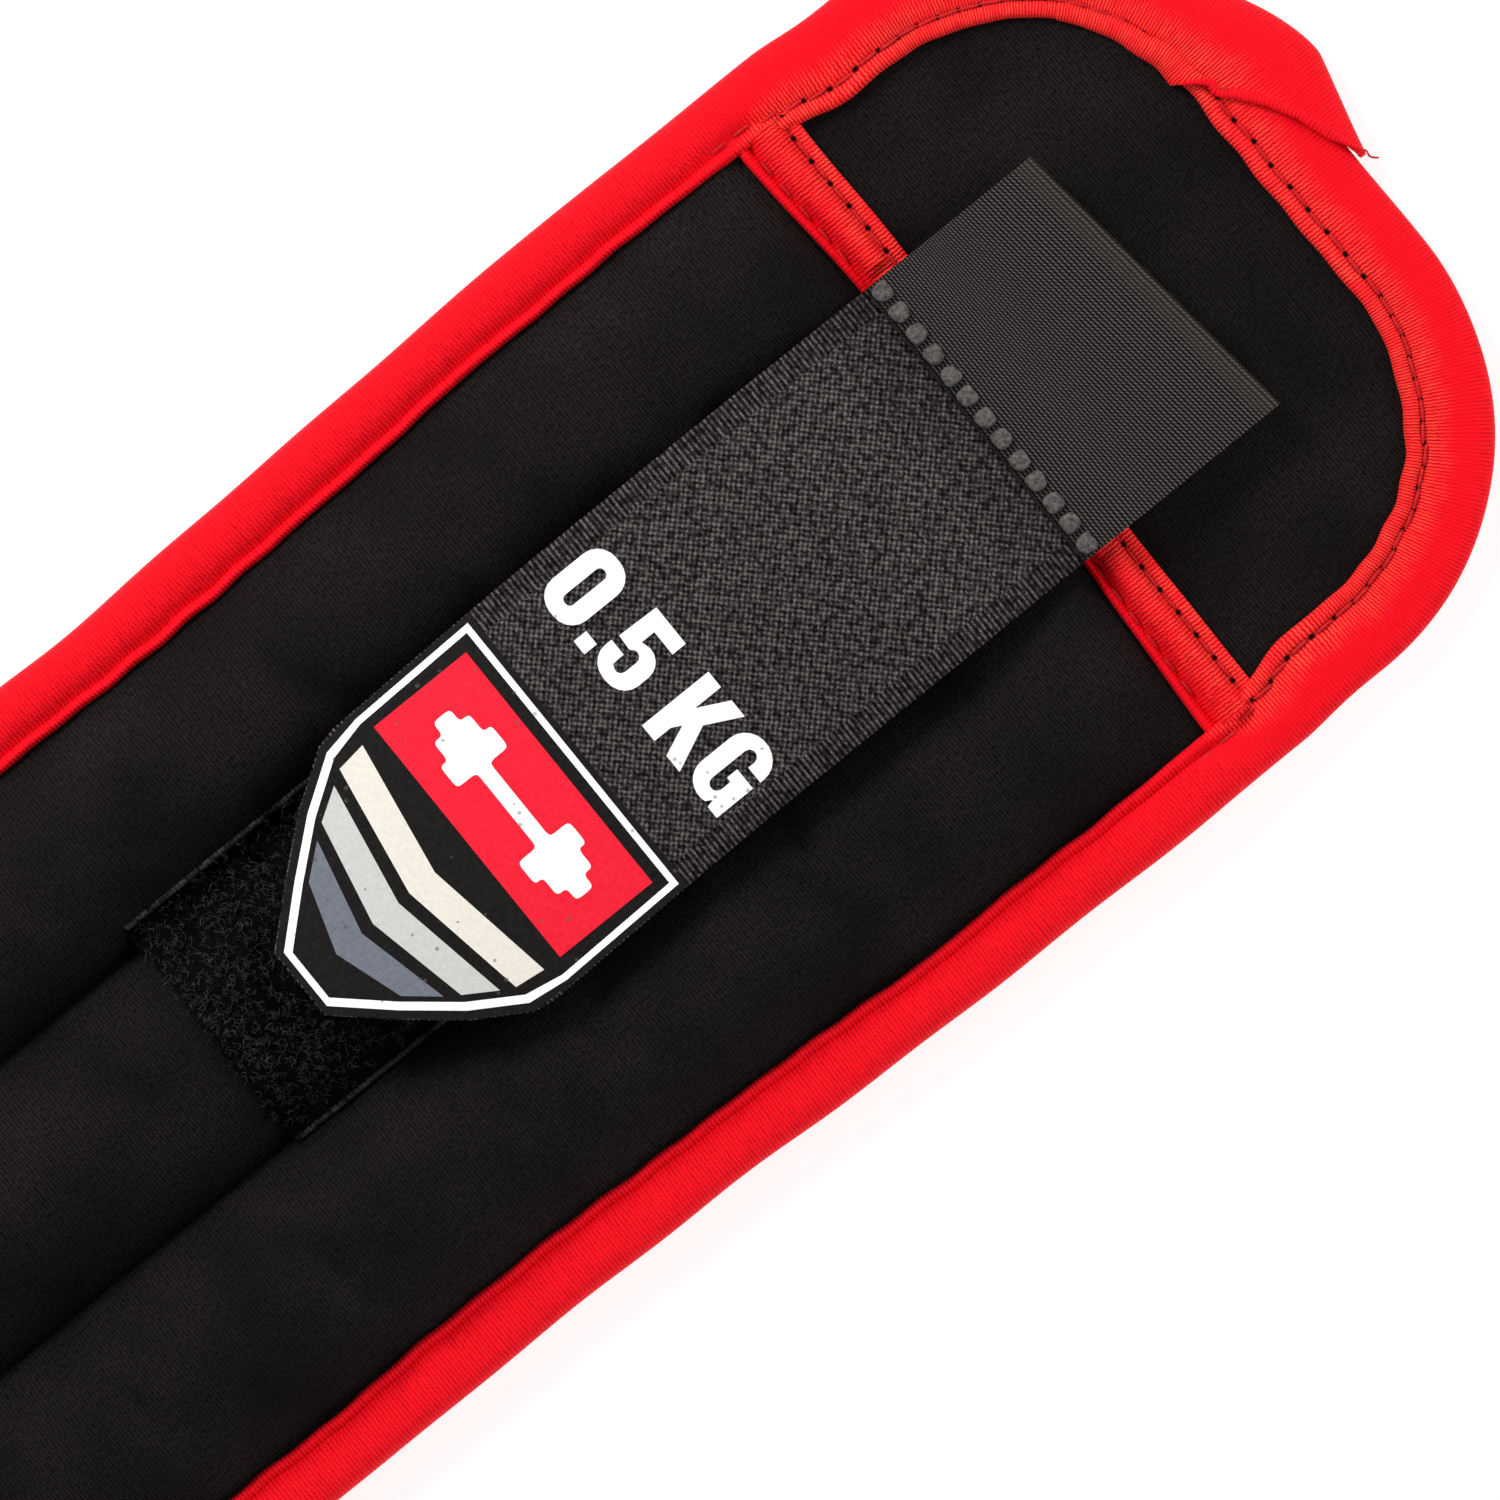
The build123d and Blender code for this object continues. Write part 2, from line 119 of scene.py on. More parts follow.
UP = np.array([0, 0, 1.0])
ACROSS = np.array([0, 1.0, 0])
TAU = 2 * math.pi


# ---- Where the cuff bends ----------------------------------------------------------------------------------
def make_zones():
    """Stretches along X from the near flap on, as (high x, low x, bodies, blend start x, blend end x)."""
    middles = [(a + b) / 2 for a, b in zip(WRAP_X, WRAP_X[1:])]
    first = 2 * WRAP_X[0] - middles[0]
    last = 2 * WRAP_X[-1] - middles[-1]
    near_in, near_out = NEAR_HINGE - BLEND_REACH, NEAR_HINGE + BLEND_REACH
    far_in, far_out = FAR_HINGE + BLEND_REACH, FAR_HINGE - BLEND_REACH
    zones = [
        (END_X + 5, near_out, ("near_flap",), 0, 0),
        (near_out, near_in, ("seg_1", "near_flap"), near_in, near_out),
        (near_in, first, ("seg_1",), 0, 0),
    ]
    lines = [first] + middles + [last]
    for k, (high, low) in enumerate(zip(lines, lines[1:]), 1):
        zones.append((high, low, (f"seg_{k}", f"seg_{k + 1}"), high, low))
    zones.append((last, far_in, ("seg_6",), 0, 0))
    zones.append((far_in, far_out, ("seg_6", "far_flap"), far_in, far_out))
    zones.append((far_out, FAR_END_X - 5, ("far_flap",), 0, 0))
    return zones


ZONES = make_zones()
BEND_END_X, BEND_MIDDLE_X, BEND_START_X = TIP_TO_BEND_X
STRAP_ZONES = [
    (STRAP_START_X + 1, BEND_START_X, ("strap_1",), 0, 0),
    (BEND_START_X, BEND_MIDDLE_X, ("strap_1", "strap_2"), BEND_START_X, BEND_MIDDLE_X),
    (BEND_MIDDLE_X, STRAP_TIP_X - 1, ("strap_2", "strap_3"), BEND_MIDDLE_X, BEND_END_X),
]


def attach(piece, zone, nodes=()):
    """Ride a piece with its zone's one body, or bake its transform in place where the zone spans two bodies,
    and hide the CAD nodes it stands for.
    """
    bodies, start, end = zone[2:]
    if len(bodies) == 1:
        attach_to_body(piece, bodies[0])
    else:
        start * MM
        end * MM
        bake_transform(piece)
    if nodes:
        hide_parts(*nodes)
    return piece


def zone_samples(low, high, step):
    """X values from high down to low, about step apart, with every zone boundary among them."""
    stops = [high] + [z[1] for z in ZONES if low < z[1] < high] + [low]
    values = []
    for a, b in zip(stops, stops[1:]):
        count = max(2, int(math.ceil((a - b) / step)) + 1)
        values.append(np.linspace(a, b, count)[:-1])
    return np.concatenate(values + [[low]])


# ---- Arrays of points --------------------------------------------------------------------------------------
def stacked(*parts):
    """Points from their coordinates, each a number or an array, spread to one common shape."""
    return np.stack(np.broadcast_arrays(*parts), axis=-1)


def unit(vectors):
    return vectors / np.linalg.norm(vectors, axis=-1, keepdims=True)


def run_along(points):
    """Distance along a line of points, up to each of them."""
    return np.concatenate([[0], np.cumsum(np.linalg.norm(np.diff(points, axis=0), axis=1))])


def at_run(where, run, points):
    """Points at given distances along a line."""
    return np.stack([np.interp(where, run, column) for column in points.T], axis=-1)


# ---- Mesh building -----------------------------------------------------------------------------------------
def add_object(name, data):
    made = bpy.data.objects.new(name, data)
    bpy.context.scene.collection.objects.link(made)
    return made


def make_piece(name, points, faces, material, uv=None, sharp=60):
    """A shaded mesh object from points in millimetres, faces, and each point's flat rest position."""
    mesh = bpy.data.meshes.new(name)
    mesh.from_pydata((np.asarray(points, float) * MM).tolist(), [], [list(map(int, f)) for f in faces])
    mesh.shade_smooth()
    if sharp:
        mesh.set_sharp_from_angle(angle=math.radians(sharp))
    if uv is not None:
        corners = np.empty(len(mesh.loops), int)
        mesh.loops.foreach_get("vertex_index", corners)
        layer = mesh.uv_layers.new(name="rest")
        layer.data.foreach_set("uv", np.asarray(uv, float)[corners].ravel().astype(np.float32))
    mesh.materials.append(material)
    return add_object(name, mesh)


def grid_quads(rows, columns):
    index = np.arange(rows * columns).reshape(rows, columns)
    quads = np.stack([index[:-1, :-1], index[1:, :-1], index[1:, 1:], index[:-1, 1:]], axis=-1)
    return quads.reshape(-1, 4)


def slab(name, top, bottom, uv, material, sharp=60):
    """A closed sheet between a top and a bottom grid of points."""
    rows, columns = top.shape[:2]
    count = rows * columns
    index = np.arange(count).reshape(rows, columns)
    upper = grid_quads(rows, columns)
    lower = upper[:, ::-1] + count
    rim = np.concatenate([index[0, :], index[1:, -1], index[-1, -2::-1], index[-2:0:-1, 0]])
    after = np.roll(rim, -1)
    walls = np.stack([rim, after, after + count, rim + count], axis=-1)
    points = np.concatenate([top.reshape(-1, 3), bottom.reshape(-1, 3)])
    flat = np.concatenate([uv.reshape(-1, 2)] * 2)
    faces = np.concatenate([upper, lower, walls])
    return make_piece(name, points, faces, material, flat, sharp)


def tube_faces(rows, columns):
    """Faces that join rings of points along their length and cap both ends."""
    index = np.arange(rows * columns).reshape(rows, columns)
    across = np.roll(index, -1, axis=1)
    sides = np.stack([index[:-1], across[:-1], across[1:], index[1:]], axis=-1)
    return sides.reshape(-1, 4).tolist() + [index[0, ::-1].tolist(), index[-1].tolist()]


def tube_grid(name, rings, uv, material):
    """A closed solid from rings of points."""
    faces = tube_faces(*rings.shape[:2])
    return make_piece(name, rings.reshape(-1, 3), faces, material, uv.reshape(-1, 2), sharp=75)


def many(name, shapes, material, sharp=60):
    """One piece from many small (points, faces) shapes."""
    points, faces, start = [], [], 0
    for shape_points, shape_faces in shapes:
        points.append(shape_points)
        faces += [[i + start for i in f] for f in shape_faces]
        start += len(shape_points)
    return make_piece(name, np.concatenate(points), faces, material, np.concatenate(points)[:, :2], sharp)


def thread_shape(path, radius, sides=6):
    """Points and faces of a thin round thread along path."""
    ahead = unit(np.gradient(path, axis=0))
    side = np.cross(ahead, UP)
    weak = np.linalg.norm(side, axis=1) < 1e-3
    side[weak] = np.cross(ahead[weak], ACROSS)
    side = unit(side)
    up = np.cross(side, ahead)
    radii = np.broadcast_to(radius, len(path))[:, None, None]
    turn = (np.arange(sides) * TAU / sides)[:, None]
    rings = path[:, None] + radii * (side[:, None] * np.cos(turn) + up[:, None] * np.sin(turn))
    faces = [face[::-1] for face in tube_faces(len(path), sides)]
    return rings.reshape(-1, 3), faces


def stitch_shape(centre, along, up, length, radius):
    """One stitch: a short thread that rises between the two holes it goes into."""
    t = np.linspace(-1, 1, 7)
    path = centre + np.outer(t * length / 2, along) + np.outer(0.9 * radius * (1 - t**4) - 0.7 * radius, up)
    return thread_shape(path, radius * np.sqrt(1 - 0.75 * t**6))


def ripple(x, y, seed, size):
    """Smooth low waves from a few seeded sines, about -1 to 1."""
    rng = np.random.default_rng(seed)
    total = 0
    for _ in range(6):
        angle, phase = rng.uniform(0, math.pi), rng.uniform(0, TAU)
        scale = TAU / (size * rng.uniform(0.7, 1.9))
        total = total + np.sin(scale * (x * math.cos(angle) + y * math.sin(angle)) + phase)
    return total / 3.2


# ---- Materials ---------------------------------------------------------------------------------------------
class Value:
    """A node output that can be reckoned with: each operation becomes a maths node of its shader."""

    def __init__(self, shader, socket):
        self.shader = shader
        self.socket = socket

    def __add__(self, other):
        return self.shader.math("ADD", self, other)

    def __sub__(self, other):
        return self.shader.math("SUBTRACT", self, other)

    def __rsub__(self, other):
        return self.shader.math("SUBTRACT", other, self)

    def __mul__(self, other):
        return self.shader.math("MULTIPLY", self, other)

    def __pow__(self, other):
        return self.shader.math("POWER", self, other)

    def __abs__(self):
        return self.shader.math("ABSOLUTE", self)


class Shader:
    """Short calls for building one node material on a Principled shader."""

    def __init__(self, name, roughness, sheen=0.0, sheen_roughness=0.5, metallic=0.0, specular=0.5):
        self.material = bpy.data.materials.new(name)
        self.material.use_nodes = True
        self.tree = self.material.node_tree
        self.principled = self.tree.nodes["Principled BSDF"]
        values = {
            "Roughness": roughness,
            "Sheen Weight": sheen,
            "Sheen Roughness": sheen_roughness,
            "Metallic": metallic,
            "Specular IOR Level": specular,
        }
        for key, value in values.items():
            self.principled.inputs[key].default_value = value

    def node(self, kind, **settings):
        made = self.tree.nodes.new("ShaderNode" + kind)
        for key, value in settings.items():
            setattr(made, key, value)
        return made

    def feed(self, socket, value):
        """Link a socket to an output, or set it to a number or a colour."""
        if isinstance(value, Value):
            value = value.socket
        if isinstance(value, bpy.types.NodeSocket):
            self.tree.links.new(value, socket)
        else:
            socket.default_value = value

    def rest(self):
        """The flat rest position in millimetres, as U along and V across."""
        split = self.node("SeparateXYZ")
        self.feed(split.inputs[0], self.node("UVMap", uv_map="rest").outputs[0])
        return Value(self, split.outputs[0]), Value(self, split.outputs[1])

    def math(self, operation, a, b=0.0):
        made = self.node("Math", operation=operation)
        for socket, value in zip(made.inputs, (a, b)):
            self.feed(socket, value)
        return Value(self, made.outputs[0])

    def cosine(self, value, pitch):
        """A wave from 1 to -1 and back once every pitch."""
        return self.math("COSINE", value * (TAU / pitch))

    def wave(self, value, pitch, power=1.0):
        """0 to 1 and back once every pitch."""
        return (self.math("SINE", value * (TAU / pitch)) * 0.5 + 0.5) ** power

    def weave_noise(self, size, detail=2.0, stretch=(1, 1, 1), roughness=0.5):
        """Noise of about the given size in millimetres, in the flat rest position."""
        vector = self.node("UVMap", uv_map="rest").outputs[0]
        return self.noise_at(vector, [part / size for part in stretch], detail, roughness)

    def noise(self, size, detail=2.0, stretch=(1, 1, 1), roughness=0.5):
        """Noise of about the given size in millimetres, in the object's own place."""
        vector = self.node("TexCoord").outputs["Object"]
        return self.noise_at(vector, [part / size / MM for part in stretch], detail, roughness)

    def noise_at(self, vector, scale, detail, roughness):
        mapping = self.node("Mapping")
        mapping.inputs["Scale"].default_value = scale
        self.feed(mapping.inputs[0], vector)
        made = self.node("TexNoise")
        made.inputs["Scale"].default_value = 1.0
        made.inputs["Detail"].default_value = detail
        made.inputs["Roughness"].default_value = roughness
        self.feed(made.inputs["Vector"], mapping.outputs[0])
        return Value(self, made.outputs["Fac"])

    def ramp(self, value, low, high):
        """value moved from the range low to high into 0 to 1."""
        made = self.node("MapRange")
        for socket, given in zip(made.inputs, (value, low, high, 0.0, 1.0)):
            self.feed(socket, given)
        return Value(self, made.outputs[0])

    def band(self, value, low, rising, falling, high):
        """1 between rising and falling, and 0 outside low and high."""
        return self.ramp(value, low, rising) * self.ramp(value, high, falling)

    def mix(self, factor, a, b):
        """Colour a where factor is 0 and colour b where it is 1."""
        made = self.node("Mix", data_type="RGBA")
        self.feed(made.inputs[0], factor)
        self.feed(made.inputs[6], a if isinstance(a, bpy.types.NodeSocket) else (*a, 1))
        self.feed(made.inputs[7], b if isinstance(b, bpy.types.NodeSocket) else (*b, 1))
        return made.outputs[2]

    def colour(self, value):
        self.feed(self.principled.inputs["Base Color"], value)

    def rough(self, value):
        self.feed(self.principled.inputs["Roughness"], value)

    def bump(self, height, distance_mm, strength=1.0):
        made = self.node("Bump")
        made.inputs["Strength"].default_value = strength
        made.inputs["Distance"].default_value = distance_mm * MM
        self.feed(made.inputs["Height"], height)
        self.feed(self.principled.inputs["Normal"], made.outputs[0])


def neoprene_material(name, rib=0.34):
    """Black nylon jersey bonded to neoprene: fine knit columns with a dusty random fleck."""
    s = Shader(name, 0.82, sheen=0.008, sheen_roughness=0.45, specular=0.035)
    u, v = s.rest()
    fleck = s.weave_noise(0.5, 3.0, roughness=0.8)
    broad = s.weave_noise(16.0, 2.0)
    knit = s.wave(v, rib) * s.wave(u, rib * 1.35)
    height = knit * 0.35 + fleck * 0.95
    tone = s.ramp(height, 0.34, 0.9) * s.ramp(broad, 0.0, 0.95)
    s.colour(s.mix(tone, (0.0012, 0.0006, 0.0008), (0.031, 0.026, 0.025)))
    s.rough(fleck * 0.2 + 0.7)
    s.bump(height, 0.07, 0.8)
    return s.material


def binding_material():
    """Red knitted edge tape: ribs square to its edge, strongest beside the stitch line and the rim; painted
    shade in the rib troughs, the stitch groove and the stitch holes, and painted highlights on the rib tops.
    """
    s = Shader("red_binding", 0.7, sheen=0.02, sheen_roughness=0.4, specular=0.07)
    u, v = s.rest()
    drift = s.weave_noise(2.6, 2.0, stretch=(1, 0.4, 1))
    zigzag = s.math("PINGPONG", v, 0.4)
    slanted = u + (zigzag * 0.22 + drift * 0.4)
    ribs = s.weave_noise(0.5, 1.0, stretch=(1, 0.35, 1)) * 0.9 + s.wave(slanted, 0.46, 0.8)
    ribs = ribs - 0.45
    smooth_middle = s.band(v, 3.2, 6.4, 7.4, 9.4)
    patchy = s.weave_noise(4.0, 2.0) * 1.1 + 0.3
    fuzz = s.weave_noise(0.3, 3.0, roughness=0.75)
    strength = (smooth_middle * -0.75 + 1.0) * patchy
    height = ribs * strength + fuzz * 0.5
    # Painted shade and painted highlight on the ribs: the rib troughs are coloured deep red and the rib tops
    # brighter, and the highest tops near the stitch line take a pale painted highlight.
    painted_highlight = s.ramp(height, 0.55, 1.3) * s.ramp(v, 6.5, 4.5)
    body = s.mix(s.ramp(height, 0.05, 0.75), (0.60, 0.0, 0.006), (0.97, 0.005, 0.015))
    body = s.mix(painted_highlight * 0.9, body, (1.0, 0.085, 0.05))
    # Painted shade: a darker red band along the sunk stitch line.
    from_line = abs(v - STITCH_INSET)
    body = s.mix(s.ramp(from_line, 0.5, 0.12) * 0.55, body, (0.22, 0.0, 0.003))
    # Painted shade: near-black spots in the stitch holes along that line.
    from_hole = s.math("PINGPONG", u, STITCH_PITCH / 2) * 0.8
    apart = s.math("SQRT", from_hole ** 2.0 + from_line ** 2.0)
    s.colour(s.mix(s.ramp(apart, 0.40, 0.22), body, (0.012, 0.0, 0.0)))
    s.rough(fuzz * 0.25 + 0.55)
    s.bump(height, 0.17, 0.9)
    return s.material


def thread_material(name, dark, light):
    """Twisted sewing thread."""
    s = Shader(name, 0.6, sheen=0.04, specular=0.2)
    twist = s.noise(0.35, 2.0, stretch=(1, 2.5, 1))
    s.colour(s.mix(s.ramp(twist, 0.3, 0.75), dark, light))
    s.bump(twist, 0.06, 0.7)
    return s.material


def webbing_material():
    """Dark grey basket-weave webbing: broken threads, ribs in its two edges, pressed flat at the weld."""
    s = Shader("strap_webbing", 0.62, specular=0.03)
    u, v = s.rest()
    jitter = s.weave_noise(1.7, 2.0)
    in_edge = s.math("GREATER_THAN", abs(v), STRAP_HALF - STRAP_EDGE)
    weaver = in_edge * -0.2 + 0.22
    along = u + jitter * weaver
    cells = s.cosine(along, WEAVE_PITCH) * s.cosine(v, WEAVE_PITCH)
    ribs = s.cosine(along, RIB_PITCH)
    knots = ribs * in_edge + cells * (1.0 - in_edge)
    fibre = s.weave_noise(0.24, 2.0, roughness=0.75)
    worn = s.weave_noise(0.7, 2.0, stretch=(1, 0.7, 1), roughness=0.7)
    bright = s.ramp(worn, 0.4, 0.58) * s.ramp(fibre, 0.36, 0.6)
    relief = (knots * 0.48 + 0.5) ** 2.0
    worn_patch = s.weave_noise(3.5, 2.0) + 0.6
    threads = bright * (relief * 1.5 + 0.16)
    tone = (relief * 0.2 + threads) * worn_patch
    pressed = s.band(u, 109.5, 111.0, 117.8, 118.5) * -0.2 + 1.0
    round_dots = s.ramp(abs(u - WELD_X), 0.9, 1.7)
    tone = tone * pressed * round_dots * (in_edge * -0.35 + 1.0)
    s.colour(s.mix(tone, (0.0015, 0.001, 0.001), (0.135, 0.12, 0.116)))
    s.rough(fibre * 0.3 + 0.45)
    s.bump(knots * 0.5 + fibre * 0.6, 0.1, 0.7)
    return s.material


def twill_material():
    """The tab's smoother tape: fine picks across it, broken into a steep twill, paler in a band along the
    fold.
    """
    s = Shader("tab_twill", 0.6, specular=0.03)
    u, v = s.rest()
    picks = s.wave(u + s.weave_noise(3.0, 1.0) * 0.15, 0.46, 0.8)
    ends = s.wave(u * 0.9 + v, 0.5)
    fibre = s.weave_noise(0.25, 2.0, roughness=0.75)
    height = picks * (ends * 0.6 + 0.4) + fibre * 0.55
    body = s.mix(s.ramp(height, 0.4, 1.2), (0.001, 0.001, 0.001), (0.092, 0.080, 0.077))
    # Paler in a band along the fold.
    paler_fold_band = s.band(u, 18.4, 19.2, 20.6, 21.6)
    body = s.mix(paler_fold_band * 0.3, body, (0.04, 0.033, 0.03))
    s.colour(s.mix(s.ramp(u, -5.2, -6.2), body, (0.002, 0.0015, 0.0015)))
    s.bump(height, 0.10, 0.7)
    return s.material


def pile_material(name, dark, light):
    """Loop pile and its fibres."""
    s = Shader(name, 0.7, sheen=0.005, specular=0.03)
    lumps = s.noise(1.1, 3.0, roughness=0.6)
    s.colour(s.mix(s.ramp(lumps, 0.3, 0.8), dark, light))
    s.bump(lumps, 0.4, 0.8)
    return s.material


def print_material(name, colour, worn):
    """Screen-print ink over the weave, with tiny pinholes."""
    s = Shader(name, 0.55, specular=0.08)
    weave = s.noise(0.55, 2.0, roughness=0.6)
    cells = s.node("TexVoronoi")
    cells.inputs["Scale"].default_value = 1 / (1.9 * MM)
    s.feed(cells.inputs["Vector"], s.node("TexCoord").outputs["Object"])
    picked = s.math("GREATER_THAN", s.noise(2.4, 0.0), 0.5)
    pinholes = s.math("LESS_THAN", cells.outputs["Distance"], 0.13) * picked
    ink = s.mix(s.ramp(weave, 0.25, 0.75), worn, colour)
    s.colour(s.mix(pinholes * 0.55, ink, (0.08, 0.075, 0.07)))
    s.bump(weave - pinholes, 0.05, 0.6)
    return s.material


def melted_material():
    """Webbing melted and pressed into a hard grey dot."""
    s = Shader("melted_webbing", 0.5, specular=0.25)
    lumps = s.noise(0.5, 4.0, roughness=0.75)
    s.colour(s.mix(s.ramp(lumps, 0.36, 0.66), (0.018, 0.016, 0.015), (0.13, 0.12, 0.115)))
    s.bump(lumps, 0.22, 0.9)
    return s.material


def metal_material():
    """Nickel plating with fine wear."""
    s = Shader("nickel_wire", 0.25, metallic=1.0)
    wear = s.noise(2.0, 4.0, stretch=(1, 0.25, 1))
    s.colour(s.mix(wear, (0.52, 0.51, 0.49), (0.74, 0.73, 0.71)))
    s.rough(s.ramp(wear, -0.6, 2.2))
    s.bump(wear, 0.02, 0.4)
    return s.material


def grain_material(name, dark, light, size, roughness):
    """Fine speckled grain, for the shot and its bags inside the pocket."""
    s = Shader(name, roughness)
    grain = s.noise(size, 3.0, roughness=0.7)
    s.colour(s.mix(s.ramp(grain, 0.3, 0.7), dark, light))
    s.bump(grain, size * 0.4, 0.8)
    return s.material


NEOPRENE = neoprene_material("neoprene_jersey")
LINING = neoprene_material("lining_jersey", 0.42)
BINDING = binding_material()
RED_THREAD = thread_material("red_thread", (0.30, 0.0, 0.004), (0.75, 0.012, 0.016))
BLACK_THREAD = thread_material("black_thread", (0.006, 0.006, 0.006), (0.05, 0.048, 0.046))
WEBBING = webbing_material()
TWILL = twill_material()
PILE = pile_material("loop_pile", (0.0002, 0.0002, 0.0002), (0.0018, 0.0016, 0.0015))
FIBRE = pile_material("loop_fibre", (0.001, 0.001, 0.001), (0.062, 0.057, 0.052))
HOOK = pile_material("hook_tape", (0.008, 0.008, 0.008), (0.04, 0.04, 0.04))
WHITE_INK = print_material("white_ink", (0.93, 0.93, 0.92), (0.82, 0.82, 0.81))
BLACK_INK = print_material("black_ink", (0.005, 0.004, 0.004), (0.013, 0.011, 0.011))
RED_INK = print_material("red_ink", (0.84, 0.018, 0.04), (0.68, 0.01, 0.026))
CREAM_INK = print_material("cream_ink", (0.74, 0.70, 0.62), (0.64, 0.61, 0.54))
GREY_INK = print_material("grey_ink", (0.56, 0.55, 0.53), (0.48, 0.47, 0.45))
SLATE_INK = print_material("slate_ink", (0.16, 0.175, 0.21), (0.12, 0.13, 0.16))
MELTED = melted_material()
NICKEL = metal_material()
SAND = grain_material("iron_sand", (0.012, 0.011, 0.010), (0.07, 0.065, 0.06), 0.5, 0.55)
BAG = grain_material("bag_film", (0.25, 0.25, 0.25), (0.4, 0.4, 0.4), 3.0, 0.35)


def side_half_width(x):
    """The weighted sides draw in a little between the bound ends."""
    near_end = smooth(x, 20.0, 96.0)
    far_end = smooth(-x, 8.0, 84.0)
    return HALF_WIDTH - 1.5 + 2.1 * np.maximum(near_end, far_end) - 0.6 * smooth(np.abs(x - 6), 118, 129)


# ---- Pocket skin -------------------------------------------------------------------------------------------
def channel_arch(y):
    """0 on the seams and 1 along the middle of each channel."""
    arch = np.zeros_like(y)
    for low, high in zip(SEAMS_Y, SEAMS_Y[1:]):
        inside = (y >= low) & (y <= high)
        across = np.abs((y - (low + high) / 2) / ((high - low) / 2))
        arch = np.where(inside, (1 - np.clip(across, 0, 1) ** 2.3) ** 0.72, arch)
    return arch


def end_rise(x):
    """How full the pocket is, from 0 at its bound ends to 1."""
    inside = np.minimum(NEAR_BINDING_X - x, x - FAR_BINDING_X)
    return np.sin(np.clip((inside - 2.2) / 26, 0, 1) * math.pi / 2) ** 0.85


def end_flare(y):
    """The end tapes widen towards the pocket where they run under the side bindings."""
    return 1 + 0.42 * np.clip((np.abs(y) - 14.0) / 26.0, 0, 1)


def skin_grid():
    """Rest grid of the pocket panel's outer face, before it is filled."""
    x = zone_samples(FAR_BINDING_X, NEAR_BINDING_X, 1.5)
    rows = [np.linspace(a, b, int(round((b - a) / 1.3)) + 1)[:-1] for a, b in zip(SEAMS_Y, SEAMS_Y[1:])]
    y = np.concatenate([[-SKIN_EDGE_Y]] + rows + [[SEAMS_Y[-1], SKIN_EDGE_Y]])
    return np.meshgrid(x, y, indexing="ij")


CLOTH_SCALE = 20.0  # the simulation is run this much larger than life
CLOTH_FRAMES = 20
CLOTH_SETTINGS = {
    "vertex_group_mass": "held",
    "quality": 6,
    "mass": 0.3,
    "tension_stiffness": 25,
    "compression_stiffness": 25,
    "shear_stiffness": 10,
    "bending_stiffness": 2.5,
    "use_pressure": True,
    "uniform_pressure_force": 6.0,
    "shrink_min": -0.03,
}


def fill_pocket(x, y, z):
    """Press the panel outwards with a cloth simulation, held along its seams, edges and ends."""
    rows, columns = x.shape
    mesh = bpy.data.meshes.new("pocket_cloth")
    points = stacked(x, y, z).reshape(-1, 3) * MM * CLOTH_SCALE
    mesh.from_pydata(points.tolist(), [], grid_quads(rows, columns)[:, ::-1].tolist())
    cloth = add_object("pocket_cloth", mesh)
    held = np.abs(y) > SKIN_EDGE_Y - 0.5
    held[0], held[-1] = True, True
    for seam in SEAMS_Y:
        held |= np.abs(y - seam) < 0.05
    pins = cloth.vertex_groups.new(name="held")
    pins.add(np.flatnonzero(held.ravel()).tolist(), 1.0, "REPLACE")
    sim = cloth.modifiers.new("cloth", "CLOTH")
    for key, value in CLOTH_SETTINGS.items():
        setattr(sim.settings, key, value)
    sim.settings.effector_weights.gravity = 0
    sim.point_cache.frame_start, sim.point_cache.frame_end = 1, CLOTH_FRAMES
    for number in range(1, CLOTH_FRAMES + 1):
        bpy.context.scene.frame_set(number)
    settled = cloth.evaluated_get(bpy.context.evaluated_depsgraph_get())
    result = np.empty(rows * columns * 3, np.float32)
    settled.data.vertices.foreach_get("co", result)
    result = result.reshape(rows, columns, 3).astype(float) / (MM * CLOTH_SCALE)
    bpy.context.scene.frame_set(1)
    bpy.data.objects.remove(cloth)
    bpy.data.meshes.remove(mesh)
    return result


SKIN_X, SKIN_Y = skin_grid()
fullness = channel_arch(SKIN_Y) * end_rise(SKIN_X)
skin_z = SKIN_FOOT_Z + (SKIN_CREST_Z - SKIN_FOOT_Z) * fullness
start_z = SKIN_FOOT_Z + (SKIN_CREST_Z - 1.6 - SKIN_FOOT_Z) * fullness
SKIN = stacked(SKIN_X, SKIN_Y, skin_z)
filled = fill_pocket(SKIN_X, SKIN_Y, start_z)
SKIN[..., 2] = np.clip(filled[..., 2], skin_z - 2.0, skin_z + 1.2)
SKIN[..., 2] += 0.25 * ripple(SKIN_X, SKIN_Y, 3, 34) * fullness
from_end = np.minimum(NEAR_BINDING_X - SKIN_X, SKIN_X - FAR_BINDING_X) / end_flare(SKIN_Y)
SKIN[..., 2] -= (SKIN[..., 2] - 4.2) * (1 - smooth(from_end, 3.0, 5.0))
outer_edge = side_half_width(SKIN_X) - SIDE_TAPE[0] - 0.5
outward = np.sign(SKIN_Y) * np.maximum(np.abs(SKIN_Y) - SEAMS_Y[2], 0) / (SEAMS_Y[3] - SEAMS_Y[2])
SKIN[..., 1] += outward * (outer_edge - SEAMS_Y[3])
SKIN[..., 2] -= 0.5 * (np.abs(SKIN_Y) > SKIN_EDGE_Y - 0.5)
SKIN[..., 2] += 0.10 * ripple(SKIN_X, SKIN_Y * 0.4, 4, 7) * np.exp(-(((fullness - 0.3) / 0.25) ** 2))


